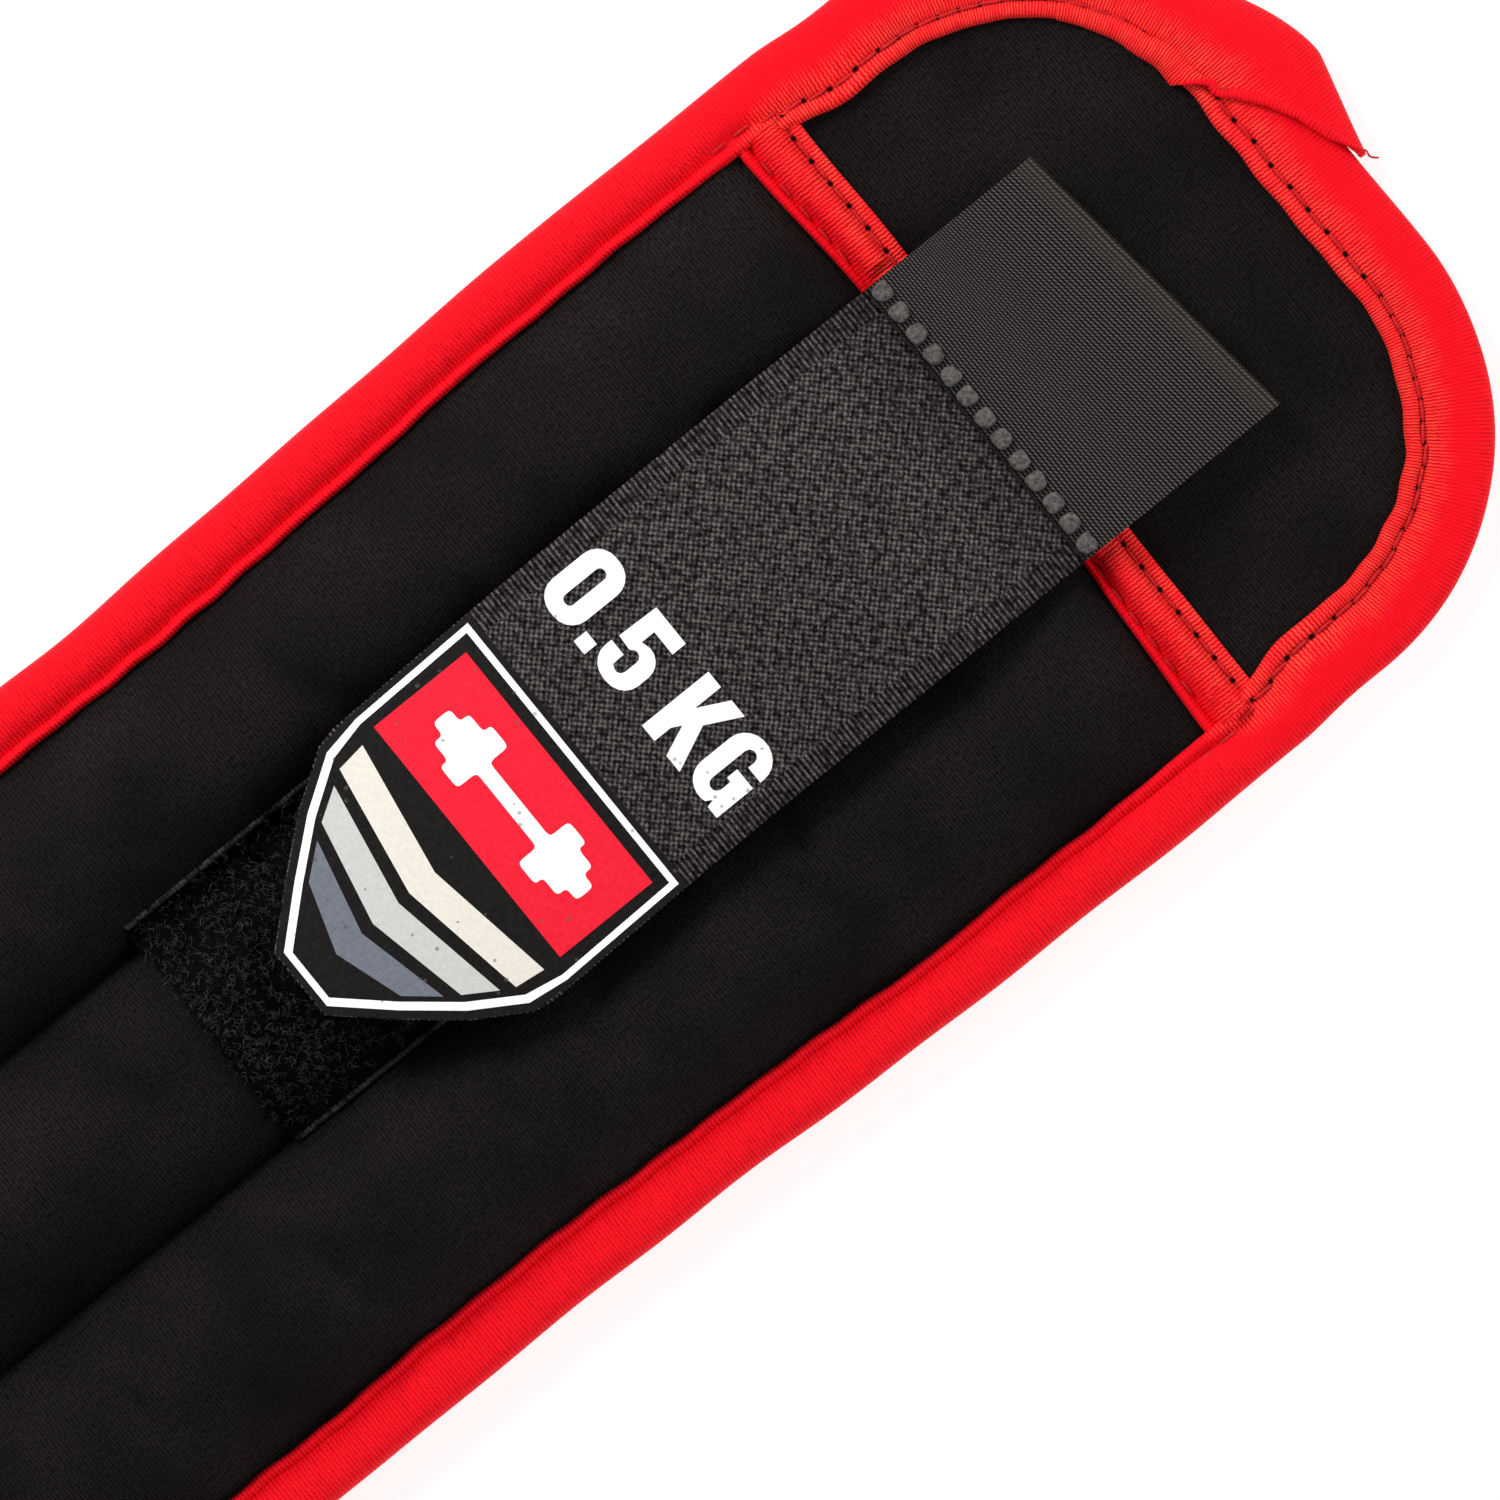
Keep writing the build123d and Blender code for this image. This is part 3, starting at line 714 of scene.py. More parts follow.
def skin_height(x, y):
    """Height of the finished pocket skin at points inside it."""
    xs, ys = SKIN_X[::-1, 0], SKIN_Y[0]
    table = SKIN[::-1, :, 2]
    i = np.clip(np.searchsorted(xs, x) - 1, 0, len(xs) - 2)
    j = np.clip(np.searchsorted(ys, y) - 1, 0, len(ys) - 2)
    a = np.clip((x - xs[i]) / (xs[i + 1] - xs[i]), 0, 1)
    b = np.clip((y - ys[j]) / (ys[j + 1] - ys[j]), 0, 1)
    near = table[i, j] * (1 - b) + table[i, j + 1] * b
    far = table[i + 1, j] * (1 - b) + table[i + 1, j + 1] * b
    return near * (1 - a) + far * a


def zone_rows(x, zone):
    """The rows of a grid, with x falling, that lie in a zone."""
    return np.flatnonzero((x <= zone[0] + 1e-6) & (x >= zone[1] - 1e-6))


def cad_nodes(kind, zone, flap=None):
    """CAD nodes that a zone's piece stands for: each segment's go with the piece over its far end."""
    bodies = zone[2]
    if bodies == ("seg_1",):
        return [f"{kind}_1"]
    if len(bodies) == 2 and bodies[1].startswith("seg"):
        return [f"{kind}_{bodies[1][4:]}"]
    if flap and bodies == ("near_flap",):
        return [flap]
    if flap and bodies == ("far_flap",):
        return [f"far_{flap}"]
    return []


for number, zone in enumerate(ZONES, 1):
    picked = zone_rows(SKIN_X[:, 0], zone)
    if len(picked) < 2:
        continue
    top = SKIN[picked]
    bottom = top.copy()
    bottom[..., 2] = np.maximum(top[..., 2] - 2.3, BASE_Z)
    piece = slab(f"pocket_skin_{number}", top, bottom, stacked(SKIN_X[picked], SKIN_Y[picked]), NEOPRENE)
    attach(piece, zone, cad_nodes("pocket_panel", zone))


# ---- Lining and flap panels --------------------------------------------------------------------------------
def flap_half_width(x, inset):
    """Half width of the cuff at x, drawn in by inset, rounding off towards either end."""
    radius = CORNER_RADIUS - inset
    past = np.maximum(x - (END_X - CORNER_RADIUS), (FAR_END_X + CORNER_RADIUS) - x)
    past = np.clip(past, 0, radius)
    return HALF_WIDTH - inset - radius + np.sqrt(radius**2 - past**2)


def panel_slab(name, x, half, top_z, material):
    """A soft flat layer across the cuff, from z = 0 up to top_z with slight waves."""
    gx, gy = np.broadcast_arrays(x[:, None], half[:, None] * np.linspace(-1, 1, 61))
    top = stacked(gx, gy, top_z + 0.15 * ripple(gx, gy, 20, 25))
    bottom = stacked(gx, gy, 0.12 + 0.06 * ripple(gx, gy, 21, 18))
    return slab(name, top, bottom, stacked(gx, gy), material)


for number, zone in enumerate(ZONES, 1):
    high = min(zone[0], END_X - 8.0)
    low = max(zone[1], FAR_END_X + 8.0)
    x = np.linspace(high, low, max(3, int((high - low) / 1.5)))
    if "near_flap" in zone[2] or "far_flap" in zone[2]:
        piece = panel_slab(f"flap_panel_{number}", x, flap_half_width(x, 8.0), FLAP_Z, NEOPRENE)
    else:
        half = np.full(len(x), HALF_WIDTH - 7.0)
        piece = panel_slab(f"lining_{number}", x, half, BASE_Z - 0.05, LINING)
    attach(piece, zone, cad_nodes("base_panel", zone, flap="flap_panel"))


# ---- Edge binding ------------------------------------------------------------------------------------------
def outline():
    """The cuff's outer edge as points 0.8 mm or so apart, from the far end's middle round by +Y and back."""
    arc = np.linspace(0, math.pi / 2, 66)
    near_x, far_x = END_X - CORNER_RADIUS, FAR_END_X + CORNER_RADIUS
    corner_y = HALF_WIDTH - CORNER_RADIUS
    side_x = np.arange(far_x + 0.8, near_x, 0.8)
    end_y = np.arange(0, corner_y, 0.8)
    far_up = stacked(FAR_END_X, end_y)
    far_arc = stacked(far_x - CORNER_RADIUS * np.cos(arc), corner_y + CORNER_RADIUS * np.sin(arc))
    from_arc = np.minimum(side_x - far_x, near_x - side_x)
    side_y = HALF_WIDTH + (side_half_width(side_x) - HALF_WIDTH) * smooth(from_arc, 0.0, 12.0)
    near_arc = stacked(near_x + CORNER_RADIUS * np.sin(arc), corner_y + CORNER_RADIUS * np.cos(arc))
    near_down = stacked(END_X, end_y[:0:-1])
    half = np.concatenate([far_up, far_arc, stacked(side_x, side_y), near_arc, near_down])
    return np.concatenate([half, half[:0:-1] * [1, -1], half[:1]])


def split_outline(points):
    """The outline with a point added wherever it crosses a zone boundary, and its length up to each point."""
    cuts = [z[1] for z in ZONES[:-1]]
    made = [points[0]]
    for a, b in zip(points, points[1:]):
        between = [c for c in cuts if min(a[0], b[0]) < c < max(a[0], b[0])]
        for c in sorted(between, reverse=bool(a[0] > b[0])):
            made.append(a + (b - a) * (c - a[0]) / (b[0] - a[0]))
        made.append(b)
    made = np.array(made)
    made = made[np.concatenate([[True], np.linalg.norm(np.diff(made, axis=0), axis=1) > 0.02])]
    return made, run_along(made)


EDGE, EDGE_RUN = split_outline(outline())


def edge_normals(points, run):
    """Unit vectors into the cuff, square to its closed outline, measured over a short reach either way."""
    before, after = (at_run((run + reach) % run[-1], run, points) for reach in (-2.5, 2.5))
    ahead = unit(after - before)
    return stacked(ahead[:, 1], -ahead[:, 0])


EDGE_IN = edge_normals(EDGE, EDGE_RUN)


def on_flap(x, before=12, after=4):
    """0 along the weighted pocket and 1 round either flap, easing over a stretch about the pocket's ends."""
    near = smooth(x, NEAR_BINDING_X - before, NEAR_BINDING_X + after)
    far = smooth(-x, -FAR_BINDING_X - before, -FAR_BINDING_X + after)
    return np.maximum(near, far)


def tape_size(x):
    """Width and height of the edge tape at x."""
    flap = on_flap(x, before=5, after=9)
    return [side + (end - side) * flap for side, end in zip(SIDE_TAPE, FLAP_TAPE)]


# Section of the folded tape from its outer edge inwards:
# share of its width, distance added, share of its height
TAPE_SECTION = (
    (0, 1.7, 0.0), (0, 0.75, 0.06), (0, 0.22, 0.2), (0, 0.0, 0.42), (0, 0.08, 0.62), (0, 0.4, 0.8),
    (0, 1.0, 0.92), (0, 1.9, 0.985), (0.35, 0.4, 1.02), (0.55, 0, 1.0), (1, -3.1, 0.94), (1, -2.55, 0.86),
    (1, -2.1, 0.82), (1, -1.75, 0.86), (1, -1.4, 0.93), (1, -0.9, 0.955), (1, -0.4, 0.92), (1, -0.1, 0.83),
    (1, 0.0, 0.7), (1, -0.1, 0.5), (1, -0.4, 0.3), (1, -0.5, 0.04), (1, -1.3, 0.0), (0.5, 0, 0.0),
)
TOP_OF_SECTION = range(2, 20)


def tape_waver(run):
    """How much wider or narrower the hand-guided tape is along its run."""
    return 0.26 * ripple(run, 0, 8, 19) + 0.14 * ripple(run, 0, 12, 6)


def tape_rings(points, inwards, run):
    """Rings of the edge tape's section along the outline, and their flat rest positions."""
    width, height = tape_size(points[:, 0])
    width = width + tape_waver(run)
    height = height + 0.10 * ripple(run, 0, 9, 14)
    out = 0.18 * ripple(run, 0, 10, 23)
    on_side = 1 - on_flap(points[:, 0])
    rings, flats = [], []
    for share, add, tall in TAPE_SECTION:
        rim = 1 - 0.3 * on_side if share == 1 else 1.0
        reach = width * share + add * rim
        plan = points + inwards * (reach - out * (1 - share))[:, None]
        across = width - reach if tall > 0.4 else width + 3 * (1 - tall) + reach
        rings.append(np.column_stack([plan, height * tall]))
        flats.append(stacked(run, across + 8.5 * on_side))
    return np.stack(rings, axis=1), np.stack(flats, axis=1)


def runs_in_zone(points, zone):
    """Index ranges of the outline inside a zone."""
    middle = (points[1:, 0] + points[:-1, 0]) / 2
    inside = np.concatenate([[False], (middle < zone[0]) & (middle > zone[1]), [False]])
    starts = np.flatnonzero(inside[1:] & ~inside[:-1])
    stops = np.flatnonzero(inside[:-1] & ~inside[1:]) + 1
    return zip(starts, stops)


EDGE_RINGS, EDGE_FLATS = tape_rings(EDGE, EDGE_IN, EDGE_RUN)
for number, zone in enumerate(ZONES, 1):
    for letter, (start, stop) in zip("abc", runs_in_zone(EDGE, zone)):
        rings, flats = EDGE_RINGS[start:stop], EDGE_FLATS[start:stop]
        piece = tube_grid(f"edge_tape_{number}_{letter}", rings, flats, BINDING)
        attach(piece, zone, cad_nodes("edge_binding", zone, flap="flap_binding"))


def stitch_place(run):
    """A point on the edge tape's stitch line, with the direction of the edge there."""
    place, inwards = (at_run(run, EDGE_RUN, values) for values in (EDGE, EDGE_IN))
    width, height = tape_size(place[0])
    reach = width + tape_waver(run) - STITCH_INSET
    return np.append(place + inwards * reach, height * 0.83 + 0.16), np.array([-inwards[1], inwards[0], 0.0])


def edge_stitches(zone):
    """Stitches along the inner edge of the tape round the flaps, inside a zone."""
    shapes = []
    for i in range(int(EDGE_RUN[-1] / STITCH_PITCH)):
        centre, along = stitch_place((i + 0.5) * STITCH_PITCH)
        if on_flap(centre[0]) >= 0.1 and zone[1] <= centre[0] < zone[0]:
            shapes.append(stitch_shape(centre, along, UP, 2.4, 0.19))
    return shapes


for number, zone in enumerate(ZONES, 1):
    shapes = edge_stitches(zone)
    if shapes:
        attach(many(f"edge_stitches_{number}", shapes, RED_THREAD), zone)


# ---- Where the tape's two ends overlap ---------------------------------------------------------------------
def overlap_patch():
    """The tape's upper end over its lower one: a slanted, hemmed cut that leaves the inner edge first."""
    near_end = (EDGE[:, 0] > END_X - 1.0) & (np.abs(EDGE[:, 1]) < 12.0)
    last_run = float(np.interp(2.6, -EDGE[near_end, 1], EDGE_RUN[near_end]))
    begin = last_run - 42.0
    across = np.array([TAPE_SECTION[k][0] * FLAP_TAPE[0] + TAPE_SECTION[k][1] for k in TOP_OF_SECTION])
    stop = last_run - 20.5 * np.clip(across / FLAP_TAPE[0], 0, 1)
    runs = begin + (stop - begin) * np.linspace(0, 1, 70)[:, None]
    points, flats = [], []
    for run, k in zip(runs.T, TOP_OF_SECTION):
        points.append(at_run(run, EDGE_RUN, EDGE_RINGS[:, k]))
        flats.append(stacked(run + 0.8, np.interp(run, EDGE_RUN, EDGE_FLATS[:, k, 1])))
    points, flats = np.stack(points, axis=1), np.stack(flats, axis=1)
    normal = unit(np.cross(np.gradient(points, axis=1), np.gradient(points, axis=0)))
    normal *= np.sign(normal[:, 9:10, 2:3])
    points += normal * (0.15 + 0.75 * smooth(runs - begin, 2.0, 24.0))[..., None]
    outer = 1 - smooth(np.arange(len(across)), 4.0, 11.0)
    bulge = smooth(runs, last_run - 27.0, last_run - 12.0) * np.clip((last_run + 1 - runs) / 13.0, 0, 1)
    points[..., 0] += 3.1 * bulge * outer
    under = points - normal * (0.35 + 0.6 * (1 - bulge))[..., None] * 0.8
    return points, under, flats


def overlap_details(top):
    """The round hem along the slanted end, its stitches and a loose thread end."""
    hem = top[-1, 3:-3].copy()
    hem[:, 2] += 0.1
    run = run_along(hem)
    fine = np.linspace(0, run[-1], 90)
    line = at_run(fine, run, hem)
    sides = 12
    radius = 0.62 * np.clip(np.minimum(fine, run[-1] - fine) / 5.0 + 0.12, 0, 1)
    rings, faces = thread_shape(line, radius, sides)
    turn = np.tile(np.arange(sides) * 0.3 + 2.9, len(fine))
    flat = stacked(np.repeat(fine, sides), turn + 6.5)
    attach(make_piece("tape_overlap_hem", rings, faces, BINDING, flat), ZONES[0])
    loose = line[0] + np.outer(np.linspace(0, 1, 24), [0.9, -2.0, -0.2])
    loose[:, 0] += 0.2 * np.sin(np.linspace(0, 7, 24))
    shapes = [thread_shape(loose, 0.12)]
    for distance in np.arange(1.5, run[-1] - 4.0, 2.9):
        a, b = (at_run(distance + reach, run, hem) for reach in (-1, 1))
        shapes.append(stitch_shape((a + b) / 2 + [-0.5, 1.15, 0.22], unit(b - a), UP, 2.0, 0.16))
    attach(many("tape_overlap_stitches", shapes, RED_THREAD), ZONES[0])


overlap_top, overlap_under, overlap_flat = overlap_patch()
piece = slab("tape_overlap", overlap_top, overlap_under, overlap_flat, BINDING, sharp=75)
attach(piece, ZONES[0])
overlap_details(overlap_top)


# ---- Bound pocket ends -------------------------------------------------------------------------------------
PRESSED_TAPE_Z = cad("anchor_tape")[0][2] - 0.1  # crest of the end tape where the strap's anchor lies on it


def end_tape(name, centre_x, flap_side, node, zone):
    """Tape across a pocket end: a thin rim, a ribbed dome over the pocket's edge, a flange on the flap."""
    section = (  # distance towards the flap, height, share of the rib relief
        (-3.0, 3.0, 0), (-3.1, 4.9, 0), (-2.95, 5.4, 0), (-2.65, 5.6, 0.3), (-2.35, 5.2, 0), (-2.1, 4.5, 0),
        (-1.8, 5.2, 0.5), (-1.45, 6.3, 1), (-0.9, 6.85, 1), (-0.2, 7.0, 1), (0.4, 6.75, 1), (0.85, 6.1, 1),
        (1.15, 5.2, 0.6), (1.4, 4.7, 0), (1.65, 4.7, 0), (2.1, 4.9, 0.3), (2.7, 4.9, 0.3), (3.05, 4.65, 0.2),
        (3.15, 4.1, 0), (3.05, 3.0, 0),
    )
    y = np.arange(-41.5, 41.6, 0.15)
    sway = 0.12 * ripple(y, 0, 14, 12)
    beside_strap = np.abs(y - STRAP_MIDDLE_Y) - STRAP_HALF
    ceiling = PRESSED_TAPE_Z + 1.3 * smooth(beside_strap, 0.3, 2.2)
    columns = []
    for d, z, share in section:
        rib = 0.15 * np.cos(TAU * (y + 0.35 * d + 0.12 * np.sin(y * 1.3)) / 0.58)
        reach = d * (end_flare(y) if d < 0 else 1)
        height = z + sway * 0.4 + share * rib
        if flap_side > 0:
            height = np.minimum(height, ceiling)
        columns.append(stacked(centre_x + flap_side * reach + sway, y, height))
    rings = np.stack(columns, axis=1)[::flap_side]
    inward = np.array([3.15 - d if d > 0.9 else 1.9 + 1.1 * (0.9 - d) for d, z, share in section])
    piece = tube_grid(name, rings, stacked(rings[..., 1], inward + STITCH_INSET - 1.6), BINDING)
    attach(piece, zone, [node])
    stitches = []
    first = math.ceil(-40 / STITCH_PITCH)
    for i in range(first, -first):
        middle = (i + 0.5) * STITCH_PITCH
        centre = np.array([centre_x + flap_side * 1.55, middle, 4.95])
        stitches.append(stitch_shape(centre, ACROSS, UP, 2.1, 0.15))
        rim = np.array([centre_x - flap_side * 2.1 * float(end_flare(middle)), middle + 0.9, 5.15])
        if flap_side < 0 or abs(middle - STRAP_MIDDLE_Y) >= STRAP_HALF + 2.0:
            stitches.append(stitch_shape(rim, ACROSS, UP, 1.9, 0.17))
    attach(many(f"{name}_stitches", stitches, RED_THREAD), zone)


end_tape("near_end_tape", NEAR_BINDING_X, 1, "pocket_end_binding", ZONES[1])
end_tape("far_end_tape", FAR_BINDING_X, -1, "far_end_binding", ZONES[-2])


# ---- Loop patch --------------------------------------------------------------------------------------------
def patch_base(x, y):
    """Height of the loop patch's backing over the skin, bridging the seams that it is sewn along."""
    return np.maximum(skin_height(x, y), SKIN_FOOT_Z + 2.2 * end_rise(x)) + 0.15


def build_patch():
    """The loop patch over the first four segments: backing and pile, curled fibres and an overlocked edge."""
    rng = np.random.default_rng(11)
    for number, zone in enumerate(ZONES[3:6], 1):
        high, low = min(zone[0], PATCH_START_X), max(zone[1], PATCH_END_X)
        x = np.linspace(high, low, int((high - low) / 0.6) + 2)
        y = np.linspace(*PATCH_Y, 52)
        gx, gy = np.meshgrid(x, y, indexing="ij")
        if number == 3:
            gx[-1] += 0.35 * ripple(gy[-1], 0, 5, 3)
        backing = patch_base(gx, gy)
        inside = smooth(np.minimum(gy - PATCH_Y[0], PATCH_Y[1] - gy), 0.5, 1.8)
        pile = 0.55 + inside * (0.55 + 0.28 * ripple(gx, gy, 31, 2.6))
        selvedge = (1 - inside) * 0.18 * np.cos(TAU * gx / 1.2)
        top = stacked(gx, gy, backing + pile + selvedge)
        bottom = stacked(gx, gy, backing - 0.25)
        piece = slab(f"loop_patch_{number}_pile", top, bottom, stacked(gx, gy), PILE)
        attach(piece, zone, [f"loop_patch_{number}"])
        fibres = []
        for _ in range(int((high - low) * (PATCH_Y[1] - PATCH_Y[0]) * 2.6)):
            px, py = rng.uniform(low, high), rng.uniform(PATCH_Y[0] + 1.2, PATCH_Y[1] - 1.0)
            if px > 45.0 and rng.random() > 0.2:
                continue
            turn, span, height = rng.uniform(0, TAU), rng.uniform(0.5, 1.3), rng.uniform(0.5, 1.15)
            t = np.linspace(0, math.pi * rng.uniform(1.0, 1.7), 7)
            ahead, aside = span * (1 - np.cos(t)) / 2, 0.3 * np.sin(2 * t + turn)
            dx = ahead * math.cos(turn) - aside * math.sin(turn)
            dy = ahead * math.sin(turn) + aside * math.cos(turn)
            fx = np.clip(px + dx, low, high) if number != 3 else np.maximum(px + dx, low - 0.8)
            fy = np.clip(py + dy, PATCH_Y[0] + 0.6, PATCH_Y[1] - 0.4)
            base = patch_base(np.clip(fx, low, high), fy) + 0.75
            fibres.append(thread_shape(stacked(fx, fy, base + height * np.abs(np.sin(t))), 0.05, 3))
        for edge_y in PATCH_Y:
            chain_x = np.arange(high, low, -0.14)
            chain_y = edge_y + 0.12 * np.sin(TAU * chain_x / 1.1)
            chain_z = patch_base(chain_x, np.full(len(chain_x), edge_y)) + 0.45
            chain = stacked(chain_x, chain_y, chain_z)
            fibres.append(thread_shape(chain, 0.3 + 0.11 * np.cos(TAU * chain_x / 0.55), 8))
        attach(many(f"loop_patch_{number}_fibres", fibres, FIBRE), zone)


build_patch()


# ---- Strap -------------------------------------------------------------------------------------------------
def strap_rise(x):
    """Height of the strap's top face: low at its welded end, then up and along the pocket."""
    welded = WELD_TOP_Z - 1.0
    return welded + (STRAP_TOP_Z - welded) * smooth(-x, -118.5, -96.0)


def strap_middle(x):
    """The strap lies a little askew."""
    return STRAP_MIDDLE_Y - 1.0 + smooth(x, 25.0, 75.0)


def strap_half(x):
    """Half width of the strap, with its end cut to a tapered tip."""
    knots_x = [STRAP_TIP_X, 27.0, 33.0, 39.0, 41.5]
    knots_half = [4.4, 9.9, 14.9, 18.7, STRAP_HALF]
    return np.interp(x, knots_x, knots_half)


def strap_top(x, y):
    """Height of the strap's upper face without its weave: its edges sag beside the middle channel."""
    across = (y - strap_middle(x)) / STRAP_HALF
    sag = 1.3 * smooth(-x, -112, -96) * across**2
    return strap_rise(x) - sag + 0.2 * ripple(x, y, 41, 40)


def weave_height(x, v):
    """Raised threads of the basket weave, and of the ribs in the two edges."""
    cells = np.cos(TAU * x / WEAVE_PITCH) * np.cos(TAU * v / WEAVE_PITCH)
    ribs = np.cos(TAU * x / RIB_PITCH)
    in_edge = np.abs(v) > STRAP_HALF - STRAP_EDGE
    pressed = 1 - 0.55 * smooth(x, 110, 113) * (1 - smooth(x, 117.5, 118.5))
    return 0.10 * np.where(in_edge, 0.5 * ribs, cells) * pressed


STRAP_CAD = (["strap_tape_1"], ["strap_tape_2"], ["strap_end"])
for number, zone in enumerate(STRAP_ZONES, 1):
    high, low = min(zone[0], STRAP_START_X), max(zone[1], STRAP_TIP_X)
    x = np.append(np.arange(high, low + WEAVE_STEP / 2, -WEAVE_STEP), low)
    across = np.linspace(-1, 1, int(2 * STRAP_HALF / WEAVE_STEP) + 1)
    gx, v = np.broadcast_arrays(x[:, None], strap_half(x)[:, None] * across)
    gy = strap_middle(x)[:, None] + v
    round_off = 0.35 * np.clip((np.abs(across) - 0.965) / 0.035, 0, 1) ** 2
    top = stacked(gx, gy, strap_top(gx, gy) + weave_height(gx, v) - round_off)
    bottom = stacked(gx, gy, strap_top(gx, gy) - STRAP_THICK + round_off)
    piece = slab(f"strap_webbing_{number}", top, bottom, stacked(gx, v), WEBBING)
    attach(piece, zone, STRAP_CAD[number - 1])
    (high - low) * MM


# ---- Hook pad under the strap's end ------------------------------------------------------------------------
def build_hooks():
    """Thin pad under the strap's end, covered in small bent hooks that lean either way."""
    rng = np.random.default_rng(17)
    low, high = STRAP_TIP_X + 1.5, 60.0
    x = np.linspace(high, low, 60)
    across = np.linspace(-1, 1, 41)
    gx, aside = np.broadcast_arrays(x[:, None], (strap_half(x) - 1.6)[:, None] * across)
    gy = strap_middle(x)[:, None] + aside
    under = strap_top(gx, gy) - STRAP_THICK
    top, bottom = stacked(gx, gy, under + 0.1), stacked(gx, gy, under - 0.35)
    piece = slab("hook_pad", top, bottom, stacked(gx, gy), HOOK)
    attach(piece, STRAP_ZONES[2], ["hook_pad_1", "hook_pad_2"])
    hooks = []
    for hx in np.arange(low + 0.8, high - 0.5, 1.25):
        half = float(strap_half(hx)) - 2.3
        for hy in np.arange(-half, half, 1.1):
            y = float(strap_middle(hx)) + hy
            z = float(strap_top(hx, y)) - STRAP_THICK - 0.33
            lean = 0.32 * (1 if rng.random() > 0.5 else -1)
            bent_x = np.array([hx, hx, hx + lean * 0.5, hx + lean])
            hooks.append(thread_shape(stacked(bent_x, y, z - np.array([0, 0.28, 0.42, 0.3])), 0.1, 4))
    attach(many("hook_pad_hooks", hooks, HOOK), STRAP_ZONES[2])


build_hooks()


# ---- Anchor tape, its fold and the tab ---------------------------------------------------------------------
def fold_edge(y):
    """The fold runs a little askew across the tape."""
    return FOLD_X - 1.6 + (STRAP_MIDDLE_Y - y) * 0.11


def tape_loop():
    """Centre line of the anchor tape in x and z: out over the flap, round the fold and back to the weld."""
    low_z, high_z = cad("anchor_tape")[0][2] + 0.45, cad("tab_tape")[1][2] - 0.45
    radius = (high_z - low_z) / 2
    turn = np.linspace(-math.pi / 2, math.pi / 2, 11)[1:-1]
    lower = [(x, low_z) for x in np.linspace(-27.0, 0.0, 40)]
    bend = [(radius * 1.1 * math.cos(a), (low_z + high_z) / 2 + radius * math.sin(a)) for a in turn]
    upper = [(x, high_z + 1.15 * float(smooth(-x, 14.0, 20.5))) for x in np.linspace(0.0, -26.0, 56)]
    return np.array(lower + bend + upper)


def build_anchor():
    """Three pieces of one tape: sewn part, fold and tab."""
    loop = tape_loop()
    step = unit(np.gradient(loop, axis=0))
    across = np.linspace(-1, 1, 75)
    y = STRAP_MIDDLE_Y + STRAP_HALF * across
    last_lower = 30
    first_upper = 49 + 12
    cuts = ((0, last_lower, ("seg_1",), "anchor_tape_sewn", ["anchor_tape"]),
            (last_lower - 1, first_upper, ("seg_1", "strap_1"), "tab_fold", []),
            (first_upper - 1, len(loop), ("strap_1",), "tab_tape_top", ["tab_tape"]))
    run = run_along(loop)
    thick = 0.42  # from the tape's middle to either face
    for begin, end, bodies, name, nodes in cuts:
        line, ahead, along = loop[begin:end], step[begin:end], run[begin:end]
        askew = smooth(line[:, :1], -25.0, -6.0)
        middle = stacked(FOLD_X + (fold_edge(y) - FOLD_X) * askew + line[:, :1], y, line[:, 1:])
        out = stacked(ahead[:, 1], 0.0, -ahead[:, 0])[:, None]
        texture = 0.04 * np.cos(TAU * along / 0.92)[:, None, None]
        outer = middle + out * (thick + texture)
        inner = middle - out * thick
        from_weld = run[-1] - along
        flat = stacked((from_weld - 6.0)[:, None], y)
        piece = slab(name, outer[:, ::-1], inner[:, ::-1], flat[:, ::-1], TWILL)
        if len(bodies) == 1:
            attach(piece, (0, 0, bodies, 0, 0), nodes)
            (along[-1] - along[0]) * MM
        else:
            low_z, high_z = line[0, 1] + thick, line[-1, 1] - thick
            low_z * MM
            high_z * MM
            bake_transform(piece)


build_anchor()


def build_dots():
    """Row of melted weld dots, each a squarish dome with an uneven rim."""
    rng = np.random.default_rng(5)
    count, sides = 13, 24
    levels = ((1.0, -0.3), (1.0, 0.25), (0.93, 0.48), (0.75, 0.62), (0.45, 0.66), (0.2, 0.62))
    turn = np.arange(sides) * TAU / sides
    shapes = []
    for i in range(count):
        y = STRAP_MIDDLE_Y + (i - count // 2) * 2.97 + rng.uniform(-0.12, 0.12)
        square = 1.1 * (np.abs(np.cos(turn)) ** 3 + np.abs(np.sin(turn)) ** 3) ** (-1 / 3)
        square *= 1 + 0.05 * np.sin(turn * 3 + rng.uniform(0, 6))
        dot_x, dot_y = square * np.cos(turn), square * np.sin(turn)
        rings = [stacked(WELD_X + dot_x * share, y + dot_y * share, WELD_TOP_Z + z) for share, z in levels]
        shapes.append((np.concatenate(rings), tube_faces(len(levels), sides)))
    attach(many("weld_dots_melted", shapes, MELTED, sharp=0), STRAP_ZONES[0], ["weld_dots"])


build_dots()


# ---- Printed marks -----------------------------------------------------------------------------------------
def arc_points(cx, cy, radius_x, radius_y, start, end, count=6):
    """Points on an arc between two angles in degrees."""
    turn = np.radians(np.linspace(start, end, count))
    return [(cx + radius_x * math.cos(a), cy + radius_y * math.sin(a)) for a in turn]


def rounded_box(x0, y0, x1, y1, radius):
    """Outline of a rectangle with round corners."""
    points = []
    for cx, cy, start in ((x1 - radius, y1 - radius, 0), (x0 + radius, y1 - radius, 90),
                          (x0 + radius, y0 + radius, 180), (x1 - radius, y0 + radius, 270)):
        points += arc_points(cx, cy, radius, radius, start, start + 90)
    return points


